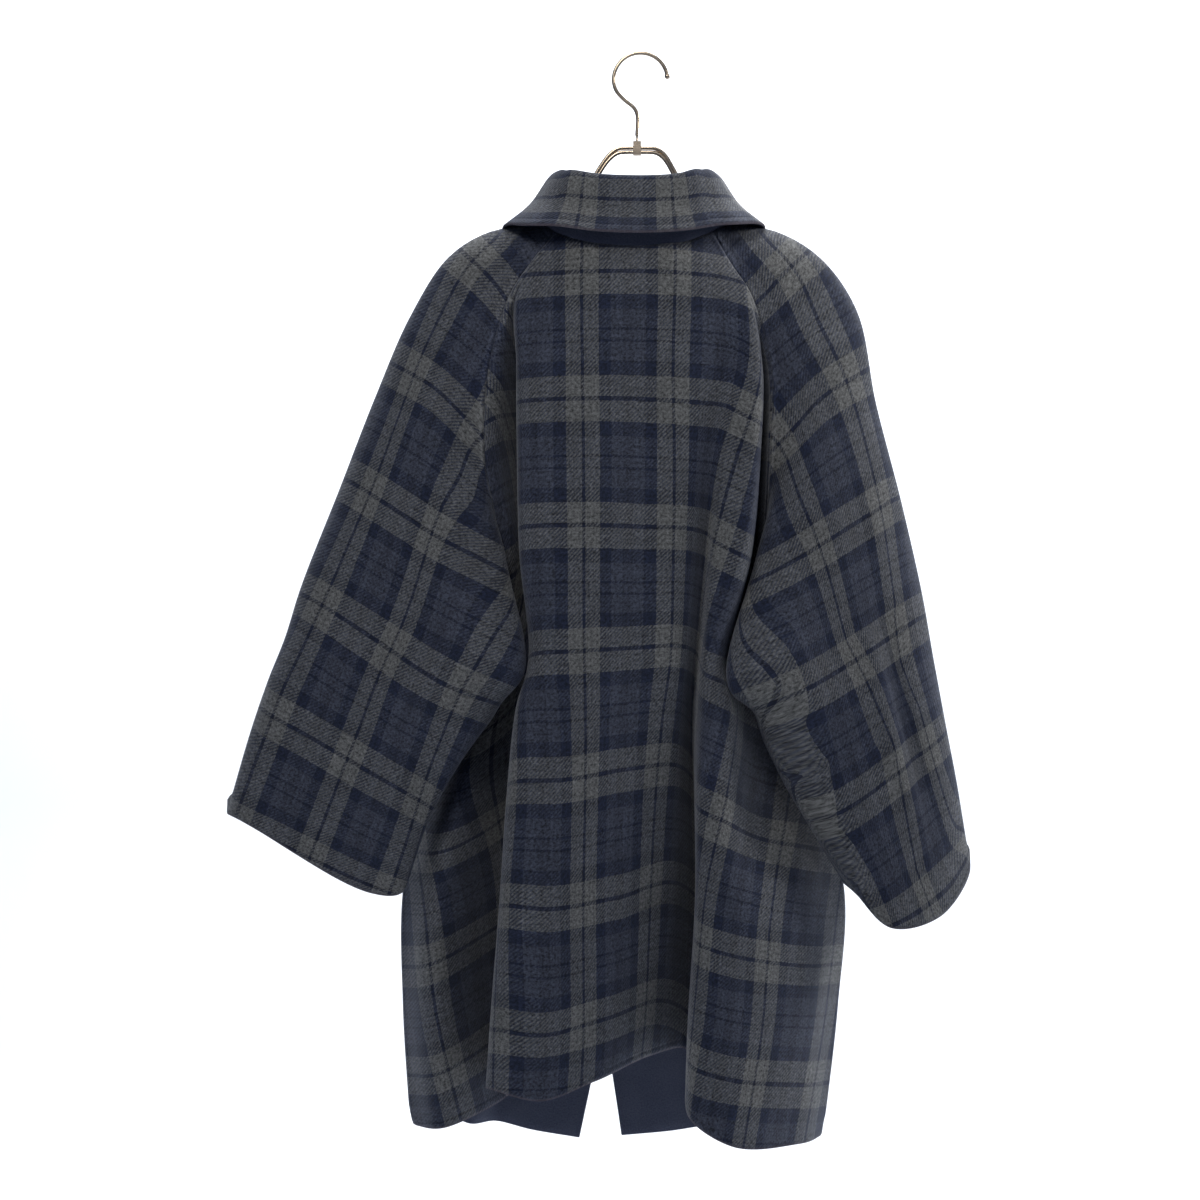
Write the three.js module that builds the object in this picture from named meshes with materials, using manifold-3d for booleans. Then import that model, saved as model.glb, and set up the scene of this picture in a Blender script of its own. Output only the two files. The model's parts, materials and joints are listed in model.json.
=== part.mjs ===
// An oversized raglan coat in double-faced wool flannel, hanging on a wire hanger.
// Millimetres, +Z up. The origin is the inside top of the hook, where it bears on a rail.
// The coat's back faces -Y and its buttoned front faces +Y; left and right are the wearer's.
import * as THREE from "three";
import { mergeVertices } from "three/addons/utils/BufferGeometryUtils.js";
import Module from "manifold-3d";

const wasm = await Module();
wasm.setup();

// Driving sizes
const CLOTH = 2.8; // double-faced flannel, two layers woven as one
const SEAM_GAP = 0.3;
const WIRE = 4;
const HOOK_RADIUS = 27;
const STEM_X = -3.5;
const BUTTON_DIAMETER = 28;
const BUTTON_THICKNESS = 4.4;
const BUTTON_COUNT = 4;
const BUTTON_PITCH = 150;
const LOWEST_BUTTON_Z = -840;
const OVERLAP_LIFT = 10; // how far the right front stands over the left one
const COLLAR_EXTRA_GAP = 0.8; // the collar spans the corners where three panels meet

const HALF = CLOTH / 2;
const SHARPEST_RETREAT = 3.2 * HALF; // a seam folded flatter than this stops drawing back
const RETREAT_MARGIN = 1.05;
const SAME_EDGE = 0.7; // cosine above which two retreats at one point are the same edge's
const UNDERARM = 6; // the section where the armholes end and the side seams begin

// Mesh steps between one section and the next
const ARMHOLE_STEPS = [1, 1, 2, 2, 2, 3];
const BODY_STEPS = [...ARMHOLE_STEPS, 2, 2, 3, 3, 3];
const SLEEVE_STEPS = [...ARMHOLE_STEPS, 2, 2, 2, 2];
const BACK_ACROSS_STEPS = [2, 3, 4, 3, 3, 3, 2, 3, 3, 3, 3];
const FRONT_ACROSS_STEPS = [3, 4, 4, 3, 3];
const RING_STEPS = [3, 3, 4, 4, 3, 2, 3];

// Left sleeve, a ring of cloth a row: x, y of the seam with the back, of the roll beside it, of the
// back's middle and outer part and of the outer edge, then y of the front's outer and inner part
// and x, y of the seam with the front. From the underarm row down both seams are one.
const LEFT_SLEEVE = [
  // zBack, zEdge, zFront, backSeam, roll, back, backOuter, edge, frontOuterY, frontY, frontSeam
  [-185, -172, -205, [-84, -42], [-88, -34], [-92, -24], [-96, -12], [-97, -1], 10, 22, [-86, 36]],
  [-215, -178.5, -238, [-106, -50], [-114, -47], [-126, -40], [-143, -21], [-150, -1], 20, 40, [-104, 50]],
  [-250, -204, -272, [-129, -57], [-141, -55], [-158, -48], [-184, -25], [-191, -2], 22, 46, [-122, 60]],
  [-320, -262, -338, [-149, -63], [-163, -63], [-186, -56], [-219.5, -30], [-228.5, -3], 24, 52, [-138, 68]],
  [-400, -345, -412, [-153, -66], [-172, -71], [-205, -68], [-251.2, -40], [-264, -5], 26, 56, [-142, 66]],
  [-500, -438, -505, [-143, -34], [-137, -66], [-190, -84], [-280.8, -54], [-299, -12], 22, 48, [-142, 44]],
  [-600, -532, -600, [-150, 10], [-116, -94], [-180, -100], [-314.9, -66], [-334.5, -22], 12, 30, [-150, 10]],
  [-645, -582, -645, [-139, -46], [-143, -88], [-195, -101], [-331, -72], [-349, -29], 4, 14, [-139, -46]],
  [-697, -624, -697, [-175, -52], [-181, -88], [-225, -99], [-346, -74], [-365, -34], 0, 6, [-175, -52]],
  [-744, -674, -744, [-204, -52], [-210, -86], [-245, -95], [-362.6, -73], [-382, -36], 0, 6, [-204, -52]],
  [-797, -755, -797, [-226, -48], [-233, -80], [-262, -88], [-388, -66], [-406, -34], 0, 4, [-226, -48]],
];
const RIGHT_SLEEVE = [
  [-184, -172, -204, [69.5, -42], [75, -34], [80, -24], [84, -12], [86, -1], 10, 22, [72, 36]],
  [-215, -178, -237, [86, -50], [95, -47], [108, -40], [126, -21], [134, -1], 20, 40, [88, 50]],
  [-250, -205, -272, [107, -58], [121, -56], [140, -49], [170, -25], [179, -2], 22, 46, [106, 60]],
  [-320, -258, -338, [126, -60], [140, -62], [165, -57], [205.6, -30], [215, -3], 24, 52, [122, 68]],
  [-400, -350, -412, [125, -60], [146, -71], [175, -70], [219.8, -42], [233, -6], 26, 56, [124, 66]],
  [-500, -448, -505, [124, -28], [113, -78], [165, -88], [241.2, -56], [257, -14], 22, 46, [126, 42]],
  [-606, -540, -606, [128, 8], [84, -106], [150, -104], [258, -70], [276, -26], 10, 28, [128, 8]],
  [-655, -600, -655, [112, -53], [114, -96], [165, -108], [269.8, -80], [285, -34], 2, 12, [112, -53]],
  [-712, -666, -712, [134, -55], [138, -94], [180, -106], [282.2, -82], [297, -36], -2, 8, [134, -55]],
  [-769, -730, -769, [167, -52], [171, -88], [205, -101], [293.9, -80], [309.5, -36], 0, 8, [167, -52]],
  [-822, -804, -822, [199, -44], [208, -76], [238, -98], [287.2, -82], [322, -36], 8, 14, [199, -44]],
];
// How much lower than its seam each cuff hangs at the roll, the back and the outer back
const LEFT_CUFF_DIP = [32, 37, 0];
const RIGHT_CUFF_DIP = [8, 42, 40];
const DIP_FADE = [0.1, 0.25, 0.5, 1]; // the same dip in the four rings that end at the cuff
const FRONT_RISE = 0.35; // the cuff's front rises by this share of the dip behind it

// Back panel between the armhole seams, x and y at each fold of one section a row
const BACK_INNER = [
  // leftRoll, leftValley, leftFold, midLeft, centre, midRight, rightValley, ridgeEdge, ridge, slope
  [[-80, -45], [-76, -48], [-68, -52], [-45, -58], [-2, -61],
    [30, -60], [45, -57], [52, -54], [60, -49], [65, -45]],
  [[-103, -53], [-98, -56], [-90, -61], [-58, -70], [-2, -72],
    [36, -71], [56, -67], [68, -63], [76, -59], [81, -55]],
  [[-126, -60], [-122, -60], [-116, -70], [-70, -80], [-2, -82],
    [45, -80], [75, -76], [90, -73], [100, -69], [104, -64]],
  [[-138, -60], [-122, -28], [-115.5, -83], [-66, -88], [-1, -88],
    [50, -84], [88, -77], [99, -82], [112, -82], [119, -45]],
  [[-141, -56], [-118, 0], [-114.5, -89], [-60, -94], [0, -92],
    [48, -88], [72, -79], [84, -89], [108, -94], [117, -18]],
  [[-128, -36], [-110, 2], [-113, -95], [-64, -102], [-5, -101],
    [42, -94], [62, -74], [71, -97], [98, -103], [111, -14]],
  [[-132, 6], [-106, -12], [-105, -88], [-62, -106], [-8, -107],
    [35, -98], [54, -68], [62, -101], [72, -100], [100, -4]],
  [[-146, -8], [-116, -5], [-117, -96], [-66, -110], [-12, -110],
    [30, -95], [50, -50], [60, -106], [80, -104], [103, -46]],
  [[-178, -36], [-128, 8], [-124, -103], [-74, -115], [-18, -113],
    [28, -88], [52, -30], [56, -116], [78, -120], [120, -62]],
  [[-198, -58], [-134, 8], [-131, -106], [-85, -119], [-25, -113],
    [24, -80], [56, -16], [55, -120], [82, -132], [148, -96]],
  [[-200, -62], [-140, 16], [-140, -110], [-92, -122], [-38, -112],
    [14, -64], [50, -8], [48, -124], [78, -136], [150, -94]],
  [[-192, -52], [-136, 26], [-145, -108], [-96, -119], [-45, -104],
    [8, -44], [46, 0], [46, -124], [84, -136], [150, -84]],
];
// Height of those folds in the neck seam and in the hem; every section between is level
const BACK_NECK_Z = [-187, -189, -192, -198, -201, -199, -196, -193, -189, -186.5];
const BACK_HEM_Z = [-1060, -1048, -1010, -1019, -1003, -991, -994, -1036, -1058, -1068];
// Side seams from below the underarm to the hem
const LEFT_SIDE = [
  [-174, 22, -650], [-214, 22, -730], [-237, 12, -832],
  [-237.5, 11, -950], [-230, 8, -1071],
];
const RIGHT_SIDE = [[144, 20, -655], [172, 19, -735], [203, 8, -832], [197, 6, -950], [182, 4, -1080]];

// Front panels from their fastened edge to their seam: y at each fold, shared by both
const FRONT_FOLDS = [
  // zAtEdge, leftEdgeX, rightEdgeX, edge, near, crest, valley, side
  [-262, 15, -25, 72, 71, 66, 59, 48],
  [-288, 15, -27, 79, 79, 75, 69, 60],
  [-315, 14, -29, 84, 85, 82, 77, 70],
  [-365, 13, -31, 90, 92, 92, 85, 79],
  [-425, 12, -33, 94, 97, 100, 89, 85],
  [-510, 11, -35, 97, 101, 106, 90, 80],
  [-600, 10, -36, 99, 103, 109, 90, 74],
  [-655, 8, -38, 100, 105, 111, 90, 80],
  [-735, 4, -41, 102, 107, 114, 89, 92],
  [-840, -8, -46, 104, 109, 117, 87, 99],
  [-965, -32, -38, 103, 108, 119, 85, 101],
  [-1106, -62, -18, 96, 104, 118, 83, 98],
];
const FRONT_HEM_DROPS = [0, 4, 6, 6, 3]; // below a straight line from edge to side seam
const LEFT_FOLD_PLACES = [0, 0.3, 0.52, 0.68, 0.85]; // share of the width from edge to seam
const RIGHT_FOLD_PLACES = [0, 0.25, 0.48, 0.66, 0.84];
const LEVEL = [0, 0, 0, 0, 0];
const RIGHT_FOLD_LIFTS = [OVERLAP_LIFT, OVERLAP_LIFT, 5, 0, 0];

// Collar: share of the neck seam from the left front end round to the right one, then how far
// the fold line and the outer edge lie outward of and above that seam, and the edge's shift along
const COLLAR = [
  // along, foldOut, foldUp, edgeOut, edgeUp, edgeShift
  [0, 8, 22, 25, -56, 26],
  [0.1, 7, 36, 37, -30, 14],
  [0.19, -6, 46, 45, -4, 2],
  [0.27, -13, 50, 41, 4, 0],
  [0.35, -15, 62, 33, 9, 0],
  [0.42, -15, 69, 22, 11, 0],
  [0.5, -15, 70, 20, 10, 0],
  [0.58, -15, 69, 22, 11, 0],
  [0.65, -15, 62, 33, 9, 0],
  [0.73, -13, 50, 39, 4, 0],
  [0.81, -6, 46, 38, -8, -4],
  [0.9, 7, 36, 30, -32, -16],
  [1, 8, 22, 25, -56, -26],
];
const COLLAR_ALONG_STEPS = 40;
const COLLAR_PROFILE_STEPS = [2, 1, 1, 1, 2, 2];
const STAND_SHARE = 0.6; // where the stand's middle lies between the seam and the fold
const FOLD_ROLL = 8; // how far outward the cloth turns over the fold line
const FOLD_DROP = 3; // how far the roll's two ends lie below its top
const FALL_MIDDLE = 0.58; // shares of the fall's height and reach at its middle, nearly straight
const FALL_REACH = 0.42;
const COLLAR_LEFT_END_X = -9; // the collar stops short of both fastened edges
const COLLAR_RIGHT_END_X = -2;

// Hanger: the bent wire's centre line on one side, x outward from the stem and z
const ARCH = [[10, 0], [19, 0.8], [27, 6]]; // x from the stem, drop below the arch's top
const ARCH_TOP_Z = -93;
const WIRE_PITCH = 4.3; // the wire runs doubled, one run above the other
const LOWER_RUN_SHARE = 0.985; // the lower run is this much shorter outward
const TIP_BEND = [[6, 9], [3.4, 13]]; // out from the tip and down, round the wire's turn
const END_GAP = 0.4;
const LEFT_ARM = [
  [-43, -116], [-58, -144.4], [-76, -165.4], [-98, -176.4],
  [-125, -180.4], [-150, -185.4], [-173, -199.4],
];
const RIGHT_ARM = [
  [34, -116], [50, -144.7], [66, -164.7], [87, -176.7],
  [112, -180.7], [135, -185.7], [158, -200.7],
];
const LEFT_TIP = [-189, -212.4];
const RIGHT_TIP = [175, -214.7];
const HOOK_PATH = [
  [26.3, -21.4], [-26.8, -26], [-24.1, -36], [-16.5, -44.6],
  [-6.5, -53], [-3.2, -60], [-3.5, -81],
];
const FRAME_STEPS = 84;
const HOOK_STEPS = 34;
const BALL_RADIUS = 2.9;
const PIN_RADIUS = 1.1;
const PIN_DEPTH = 3.2;
const FERRULE_TOP = -86.7;
const FERRULE_HEIGHT = 14;
const FERRULE_WIDTH = 8;
const FERRULE_DEPTH = 8;

const cloth = (colour) => new THREE.MeshStandardMaterial({ color: colour, roughness: 0.95, metalness: 0 });
const resin = (colour) => new THREE.MeshStandardMaterial({ color: colour, roughness: 0.35, metalness: 0 });
const steel = (colour) => new THREE.MeshStandardMaterial({ color: colour, roughness: 0.25, metalness: 1 });
const PLAID_TONE = 0x3a3f4a;
const COLLAR_TONE = 0x4b4f57;
const STEEL_TONE = 0xb9b6b2;
const BUTTON_TONE = 0x1b1d24;

// Fractional section numbers at which the surface is meshed
function stations(steps) {
  const places = [];
  steps.forEach((count, section) => {
    for (let k = 0; k < count; k += 1) places.push(section + k / count);
  });
  places.push(steps.length);
  return places;
}

// A smooth line through the points, read at fractional point numbers
function readLine(points, places) {
  const line = new THREE.CatmullRomCurve3(points, false, "centripetal");
  return places.map((place) => line.getPoint(Math.min(1, place / (points.length - 1))));
}

// A seam turns a corner at the underarm, so its line is read in two stretches there
function readSeam(points, places) {
  const above = places.filter((place) => place <= UNDERARM);
  const below = places.filter((place) => place > UNDERARM).map((place) => place - UNDERARM);
  const upper = readLine(points.slice(0, UNDERARM + 1), above);
  return below.length ? [...upper, ...readLine(points.slice(UNDERARM), below)] : upper;
}

// A sheet of mesh points, grid[row][column], through sections of control points
function makeSheet(sections, downSteps, acrossSteps) {
  const across = stations(acrossSteps);
  const down = stations(downSteps);
  const ribs = sections.map((section) => readLine(section, across));
  const columns = across.map((_, c) => {
    const rib = ribs.map((row) => row[c]);
    const isSeam = c === 0 || c === across.length - 1;
    return isSeam ? readSeam(rib, down) : readLine(rib, down);
  });
  const grid = down.map((_, r) => columns.map((column) => column[r]));
  return { grid, retreats: new Map() };
}

const point = (x, y, z) => new THREE.Vector3(x, y, z);
const between = (a, b, share) => a + (b - a) * share;

// One sleeve's sections. The rings tilt from the seam to the outer edge, and dip at the cuff.
function sleeveSections(table, cuffDip) {
  const firstDip = table.length - DIP_FADE.length;
  return table.map((row, i) => {
    const [zBack, zEdge, zFront, backSeam, roll, back, backOuter, edge, frontOuterY, frontY, frontSeam] = row;
    const fade = i >= firstDip ? DIP_FADE[i - firstDip] : 0;
    const tilt = (zSeam, xSeam, x) => between(zSeam, zEdge, (x - xSeam) / (edge[0] - xSeam));
    const behind = ([x, y], dip) => point(x, y, tilt(zBack, backSeam[0], x) - dip * fade);
    const ahead = (x, y, dip) => point(x, y, tilt(zFront, frontSeam[0], x) + dip * FRONT_RISE * fade);
    return [
      point(...backSeam, zBack),
      behind(roll, cuffDip[0]),
      behind(back, cuffDip[1]),
      behind(backOuter, cuffDip[2]),
      point(...edge, zEdge),
      ahead(backOuter[0], frontOuterY, cuffDip[2]),
      ahead(back[0], frontY, cuffDip[1]),
      point(...frontSeam, zFront),
    ];
  });
}

// The back's sections run from the left sleeve's seam, then side seam, across to the right ones
function backSections() {
  return BACK_INNER.map((folds, i) => {
    const atArmhole = i <= UNDERARM;
    const left = atArmhole ? backSeamPoint(LEFT_SLEEVE, i) : point(...LEFT_SIDE[i - UNDERARM - 1]);
    const right = atArmhole ? backSeamPoint(RIGHT_SLEEVE, i) : point(...RIGHT_SIDE[i - UNDERARM - 1]);
    const heights = { 0: BACK_NECK_Z, [BACK_INNER.length - 1]: BACK_HEM_Z }[i];
    const inner = folds.map(([x, y], k) => {
      const share = (x - left.x) / (right.x - left.x);
      return point(x, y, heights ? heights[k] : between(left.z, right.z, share));
    });
    return [left, ...inner, right];
  });
}

const backSeamPoint = (table, i) => point(...table[i][3], table[i][0]);
const frontSeamPoint = (table, i) => point(...table[i][10], table[i][2]);

// A front's sections run from its fastened edge to the sleeve's seam, then side seam
function frontSections(sleeveTable, side, edgeColumn, places, lifts) {
  return FRONT_FOLDS.map((row, i) => {
    const [zEdge] = row;
    const edgeX = row[edgeColumn];
    const folds = row.slice(3);
    const seam = i <= UNDERARM ? frontSeamPoint(sleeveTable, i) : point(...side[i - UNDERARM - 1]);
    const drops = i === FRONT_FOLDS.length - 1 ? FRONT_HEM_DROPS : LEVEL;
    const inner = folds.map((y, k) => {
      const height = between(zEdge, seam.z, places[k]) - drops[k];
      return point(between(edgeX, seam.x, places[k]), y + lifts[k], height);
    });
    return [...inner, seam];
  });
}

// Where two panels are sewn, each edge draws back just enough that their walls stay apart
function sew(sheetA, columnA, sheetB, columnB, fromRow, toRow) {
  for (let r = fromRow; r <= toRow; r += 1) {
    const directionA = inward(sheetA.grid, r, columnA);
    const directionB = inward(sheetB.grid, r, columnB);
    const distance = clearance(directionA, directionB);
    holdBack(sheetA, r, columnA, directionA, distance);
    holdBack(sheetB, r, columnB, directionB, distance);
  }
}

function inward(grid, r, column) {
  const next = column === 0 ? 1 : column - 1;
  return grid[r][next].clone().sub(grid[r][column]).normalize();
}

function clearance(directionA, directionB) {
  const foldAngle = Math.PI - directionA.angleTo(directionB);
  return SEAM_GAP / 2 + Math.min(SHARPEST_RETREAT, RETREAT_MARGIN * HALF * Math.tan(foldAngle / 2));
}

function holdBack(sheet, r, c, direction, distance) {
  const key = `${r},${c}`;
  const known = sheet.retreats.get(key) || [];
  const same = known.find((entry) => entry.direction.dot(direction) > SAME_EDGE);
  if (same) same.distance = Math.max(same.distance, distance);
  else known.push({ direction, distance });
  sheet.retreats.set(key, known);
}

function settleEdges(sheet) {
  sheet.retreats.forEach((entries, key) => {
    const [r, c] = key.split(",").map(Number);
    entries.forEach(({ direction, distance }) => sheet.grid[r][c].addScaledVector(direction, distance));
  });
}

// The collar's stand rises from the neck seam, folds over and falls outside
function collarSheet(neckLine) {
  const loop = new THREE.CatmullRomCurve3(neckLine, false, "centripetal");
  loop.arcLengthDivisions = 400;
  const folds = COLLAR.map(([along, foldOut, foldUp]) => point(along, foldOut, foldUp));
  const tableLine = new THREE.CatmullRomCurve3(folds, false, "centripetal");
  const edges = COLLAR.map(([, , , edgeOut, edgeUp, edgeShift]) => point(edgeOut, edgeUp, edgeShift));
  const edgeLine = new THREE.CatmullRomCurve3(edges, false, "centripetal");
  const rows = [];
  for (let k = 0; k <= COLLAR_ALONG_STEPS; k += 1) {
    const share = k / COLLAR_ALONG_STEPS;
    const seam = loop.getPointAt(share);
    const tangent = loop.getTangentAt(share);
    const along = point(tangent.x, tangent.y, 0).normalize();
    const outward = point(along.y, -along.x, 0);
    const tablePlace = placeInTable(tableLine, share);
    const fold = tableLine.getPoint(tablePlace);
    const edge = edgeLine.getPoint(tablePlace);
    const at = (out, up, shift) =>
      seam.clone().addScaledVector(outward, out).addScaledVector(along, shift).add(point(0, 0, up));
    const foldOut = fold.y;
    const foldUp = fold.z;
    const profile = [
      seam.clone(),
      at(foldOut * STAND_SHARE, foldUp * STAND_SHARE, 0),
      at(foldOut, foldUp - FOLD_DROP, 0),
      at(foldOut + FOLD_ROLL / 2, foldUp, 0),
      at(foldOut + FOLD_ROLL, foldUp - FOLD_DROP, 0),
      at(between(foldOut + FOLD_ROLL, edge.x, FALL_REACH), between(foldUp, edge.y, FALL_MIDDLE), edge.z / 2),
      at(edge.x, edge.y, edge.z),
    ];
    rows.push(readLine(profile, stations(COLLAR_PROFILE_STEPS)));
  }
  const grid = rows[0].map((_, r) => rows.map((column) => column[r]));
  return { grid, retreats: new Map() };
}

function placeInTable(tableLine, share) {
  let low = 0;
  let high = 1;
  for (let k = 0; k < 30; k += 1) {
    const middle = (low + high) / 2;
    if (tableLine.getPoint(middle).x < share) low = middle;
    else high = middle;
  }
  return (low + high) / 2;
}

// The neck seam from the left front end round the back to the right front end
function neckSeam(frontLeft, sleeveLeft, back, sleeveRight, frontRight) {
  const top = (sheet) => sheet.grid[0];
  const line = [
    ...top(frontLeft).filter((p) => p.x < COLLAR_LEFT_END_X),
    ...[...top(sleeveLeft)].reverse().slice(1),
    ...top(back).slice(1),
    ...top(sleeveRight).slice(1),
    ...[...top(frontRight)].reverse().slice(1).filter((p) => p.x > COLLAR_RIGHT_END_X),
  ];
  return line.map((p) => p.clone());
}

// The neck edges draw back from the collar as the other seams do
function sewCollar(collar, panels) {
  const lower = collar.grid[0];
  const rise = (c) => collar.grid[1][c].clone().sub(lower[c]).normalize();
  const nearest = (target, points) => {
    let best = 0;
    points.forEach((p, i) => {
      if (p.distanceTo(target) < points[best].distanceTo(target)) best = i;
    });
    return best;
  };
  const falls = panels.flatMap((panel) =>
    panel.grid[0].map((p, c) => ({ p: p.clone(), direction: panel.grid[1][c].clone().sub(p).normalize() })));
  panels.forEach((panel) => {
    panel.grid[0].forEach((p, c) => {
      const direction = panel.grid[1][c].clone().sub(p).normalize();
      holdBack(panel, 0, c, direction, clearance(direction, rise(nearest(p, lower))));
    });
  });
  lower.forEach((p, c) => {
    const partner = falls[nearest(p, falls.map((fall) => fall.p))];
    holdBack(collar, 0, c, rise(c), clearance(rise(c), partner.direction) + COLLAR_EXTRA_GAP);
  });
}

// A closed wall of cloth: the sheet's points moved out and in by half the cloth's thickness
function wallGeometry(grid, outwardSign) {
  const rowCount = grid.length;
  const columnCount = grid[0].length;
  const normalAt = (r, c) => sheetNormal(grid, r, c).multiplyScalar(outwardSign);
  const normals = grid.map((row, r) => row.map((_, c) => normalAt(r, c)));
  const positions = [];
  const layer = (sign) => grid.forEach((row, r) => row.forEach((p, c) => {
    const moved = p.clone().addScaledVector(normals[r][c], sign * HALF);
    positions.push(moved.x, moved.y, moved.z);
  }));
  layer(1);
  layer(-1);
  const outer = (r, c) => r * columnCount + c;
  const inner = (r, c) => rowCount * columnCount + r * columnCount + c;
  const faces = [];
  const quad = (a, b, c, d) => {
    if (outwardSign > 0) faces.push(a, b, c, a, c, d);
    else faces.push(a, c, b, a, d, c);
  };
  for (let r = 0; r < rowCount - 1; r += 1) {
    for (let c = 0; c < columnCount - 1; c += 1) {
      quad(outer(r, c), outer(r + 1, c), outer(r + 1, c + 1), outer(r, c + 1));
      quad(inner(r, c), inner(r, c + 1), inner(r + 1, c + 1), inner(r + 1, c));
    }
  }
  const lastRow = rowCount - 1;
  const lastColumn = columnCount - 1;
  for (let r = 0; r < lastRow; r += 1) {
    quad(outer(r, 0), inner(r, 0), inner(r + 1, 0), outer(r + 1, 0));
    quad(outer(r, lastColumn), outer(r + 1, lastColumn), inner(r + 1, lastColumn), inner(r, lastColumn));
  }
  for (let c = 0; c < lastColumn; c += 1) {
    quad(outer(0, c), outer(0, c + 1), inner(0, c + 1), inner(0, c));
    quad(outer(lastRow, c), inner(lastRow, c), inner(lastRow, c + 1), outer(lastRow, c + 1));
  }
  const geometry = new THREE.BufferGeometry();
  geometry.setAttribute("position", new THREE.Float32BufferAttribute(positions, 3));
  geometry.setIndex(faces);
  return geometry;
}

function sheetNormal(grid, r, c) {
  const row = grid[r];
  const down = (grid[r + 1] || row)[c].clone().sub((grid[r - 1] || row)[c]);
  const across = (row[c + 1] || row[c]).clone().sub(row[c - 1] || row[c]);
  return down.cross(across).normalize();
}

function clothPiece(name, sheet, outwardSign, colour) {
  settleEdges(sheet);
  const mesh = new THREE.Mesh(wallGeometry(sheet.grid, outwardSign), cloth(colour));
  mesh.name = name;
  return mesh;
}

function coatPanels() {
  const sleeveLeft = makeSheet(sleeveSections(LEFT_SLEEVE, LEFT_CUFF_DIP), SLEEVE_STEPS, RING_STEPS);
  const sleeveRight = makeSheet(sleeveSections(RIGHT_SLEEVE, RIGHT_CUFF_DIP), SLEEVE_STEPS, RING_STEPS);
  const back = makeSheet(backSections(), BODY_STEPS, BACK_ACROSS_STEPS);
  const leftRows = frontSections(LEFT_SLEEVE, LEFT_SIDE, 1, LEFT_FOLD_PLACES, LEVEL);
  const rightRows = frontSections(RIGHT_SLEEVE, RIGHT_SIDE, 2, RIGHT_FOLD_PLACES, RIGHT_FOLD_LIFTS);
  const frontLeft = makeSheet(leftRows, BODY_STEPS, FRONT_ACROSS_STEPS);
  const frontRight = makeSheet(rightRows, BODY_STEPS, FRONT_ACROSS_STEPS);
  const collar = collarSheet(neckSeam(frontLeft, sleeveLeft, back, sleeveRight, frontRight));

  const last = (sheet) => sheet.grid[0].length - 1;
  const underarmRow = ARMHOLE_STEPS.reduce((sum, count) => sum + count, 0);
  const hemRow = back.grid.length - 1;
  const cuffRow = sleeveLeft.grid.length - 1;
  sew(sleeveLeft, 0, back, 0, 0, underarmRow);
  sew(sleeveLeft, last(sleeveLeft), frontLeft, last(frontLeft), 0, underarmRow);
  sew(sleeveLeft, 0, sleeveLeft, last(sleeveLeft), underarmRow, cuffRow);
  sew(sleeveRight, 0, back, last(back), 0, underarmRow);
  sew(sleeveRight, last(sleeveRight), frontRight, last(frontRight), 0, underarmRow);
  sew(sleeveRight, 0, sleeveRight, last(sleeveRight), underarmRow, cuffRow);
  sew(back, 0, frontLeft, last(frontLeft), underarmRow, hemRow);
  sew(back, last(back), frontRight, last(frontRight), underarmRow, hemRow);
  sewCollar(collar, [frontLeft, sleeveLeft, back, sleeveRight, frontRight]);
  return { sleeveLeft, sleeveRight, back, frontLeft, frontRight, collar };
}

// Half of a button's section: x from its middle, y from its underside
const BUTTON_RIM = 1.2;
const BUTTON_PROFILE = [
  [0, 0], [BUTTON_DIAMETER / 2 - 3, 0], [BUTTON_DIAMETER / 2, BUTTON_RIM],
  [BUTTON_DIAMETER / 2, BUTTON_THICKNESS - BUTTON_RIM], [BUTTON_DIAMETER / 2 - BUTTON_RIM, BUTTON_THICKNESS],
  [BUTTON_DIAMETER / 2 - 3.5, BUTTON_THICKNESS - 0.2], [BUTTON_DIAMETER / 2 - 5, BUTTON_THICKNESS - 1.4],
  [0, BUTTON_THICKNESS - 1.4],
];
const BUTTON_SIDES = 16;

// Four plain sew-through buttons lie on the right front, along the middle of the overlap
function buttonGeometry() {
  return new THREE.LatheGeometry(BUTTON_PROFILE.map(([x, y]) => new THREE.Vector2(x, y)), BUTTON_SIDES);
}

function buttons(frontRight) {
  const { grid } = frontRight;
  const group = new THREE.Group();
  for (let k = 0; k < BUTTON_COUNT; k += 1) {
    const height = LOWEST_BUTTON_Z + k * BUTTON_PITCH;
    const row = grid.findIndex((line) => line[1].z < height);
    const share = (grid[row - 1][1].z - height) / (grid[row - 1][1].z - grid[row][1].z);
    const place = grid[row - 1][1].clone().lerp(grid[row][1], share);
    const down = grid[row][1].clone().sub(grid[row - 1][1]);
    const across = grid[row][2].clone().sub(grid[row][0]);
    const outward = across.cross(down).normalize();
    if (outward.y < 0) outward.negate();
    const button = new THREE.Mesh(buttonGeometry(), resin(BUTTON_TONE));
    button.name = `button_${k + 1}`;
    button.quaternion.setFromUnitVectors(point(0, 1, 0), outward);
    button.position.copy(place).addScaledVector(outward, HALF + SEAM_GAP);
    group.add(button);
  }
  return group;
}

// A round wire along a line in the hanger's plane
function wireGeometry(curve, sidesPerHalf, steps) {
  const section = new THREE.Shape();
  section.absarc(0, 0, WIRE / 2, 0, Math.PI * 2, false);
  return new THREE.ExtrudeGeometry(section, {
    curveSegments: sidesPerHalf, steps, bevelEnabled: false, extrudePath: curve });
}

const inPlane = ([x, z]) => point(x, 0, z);

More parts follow.
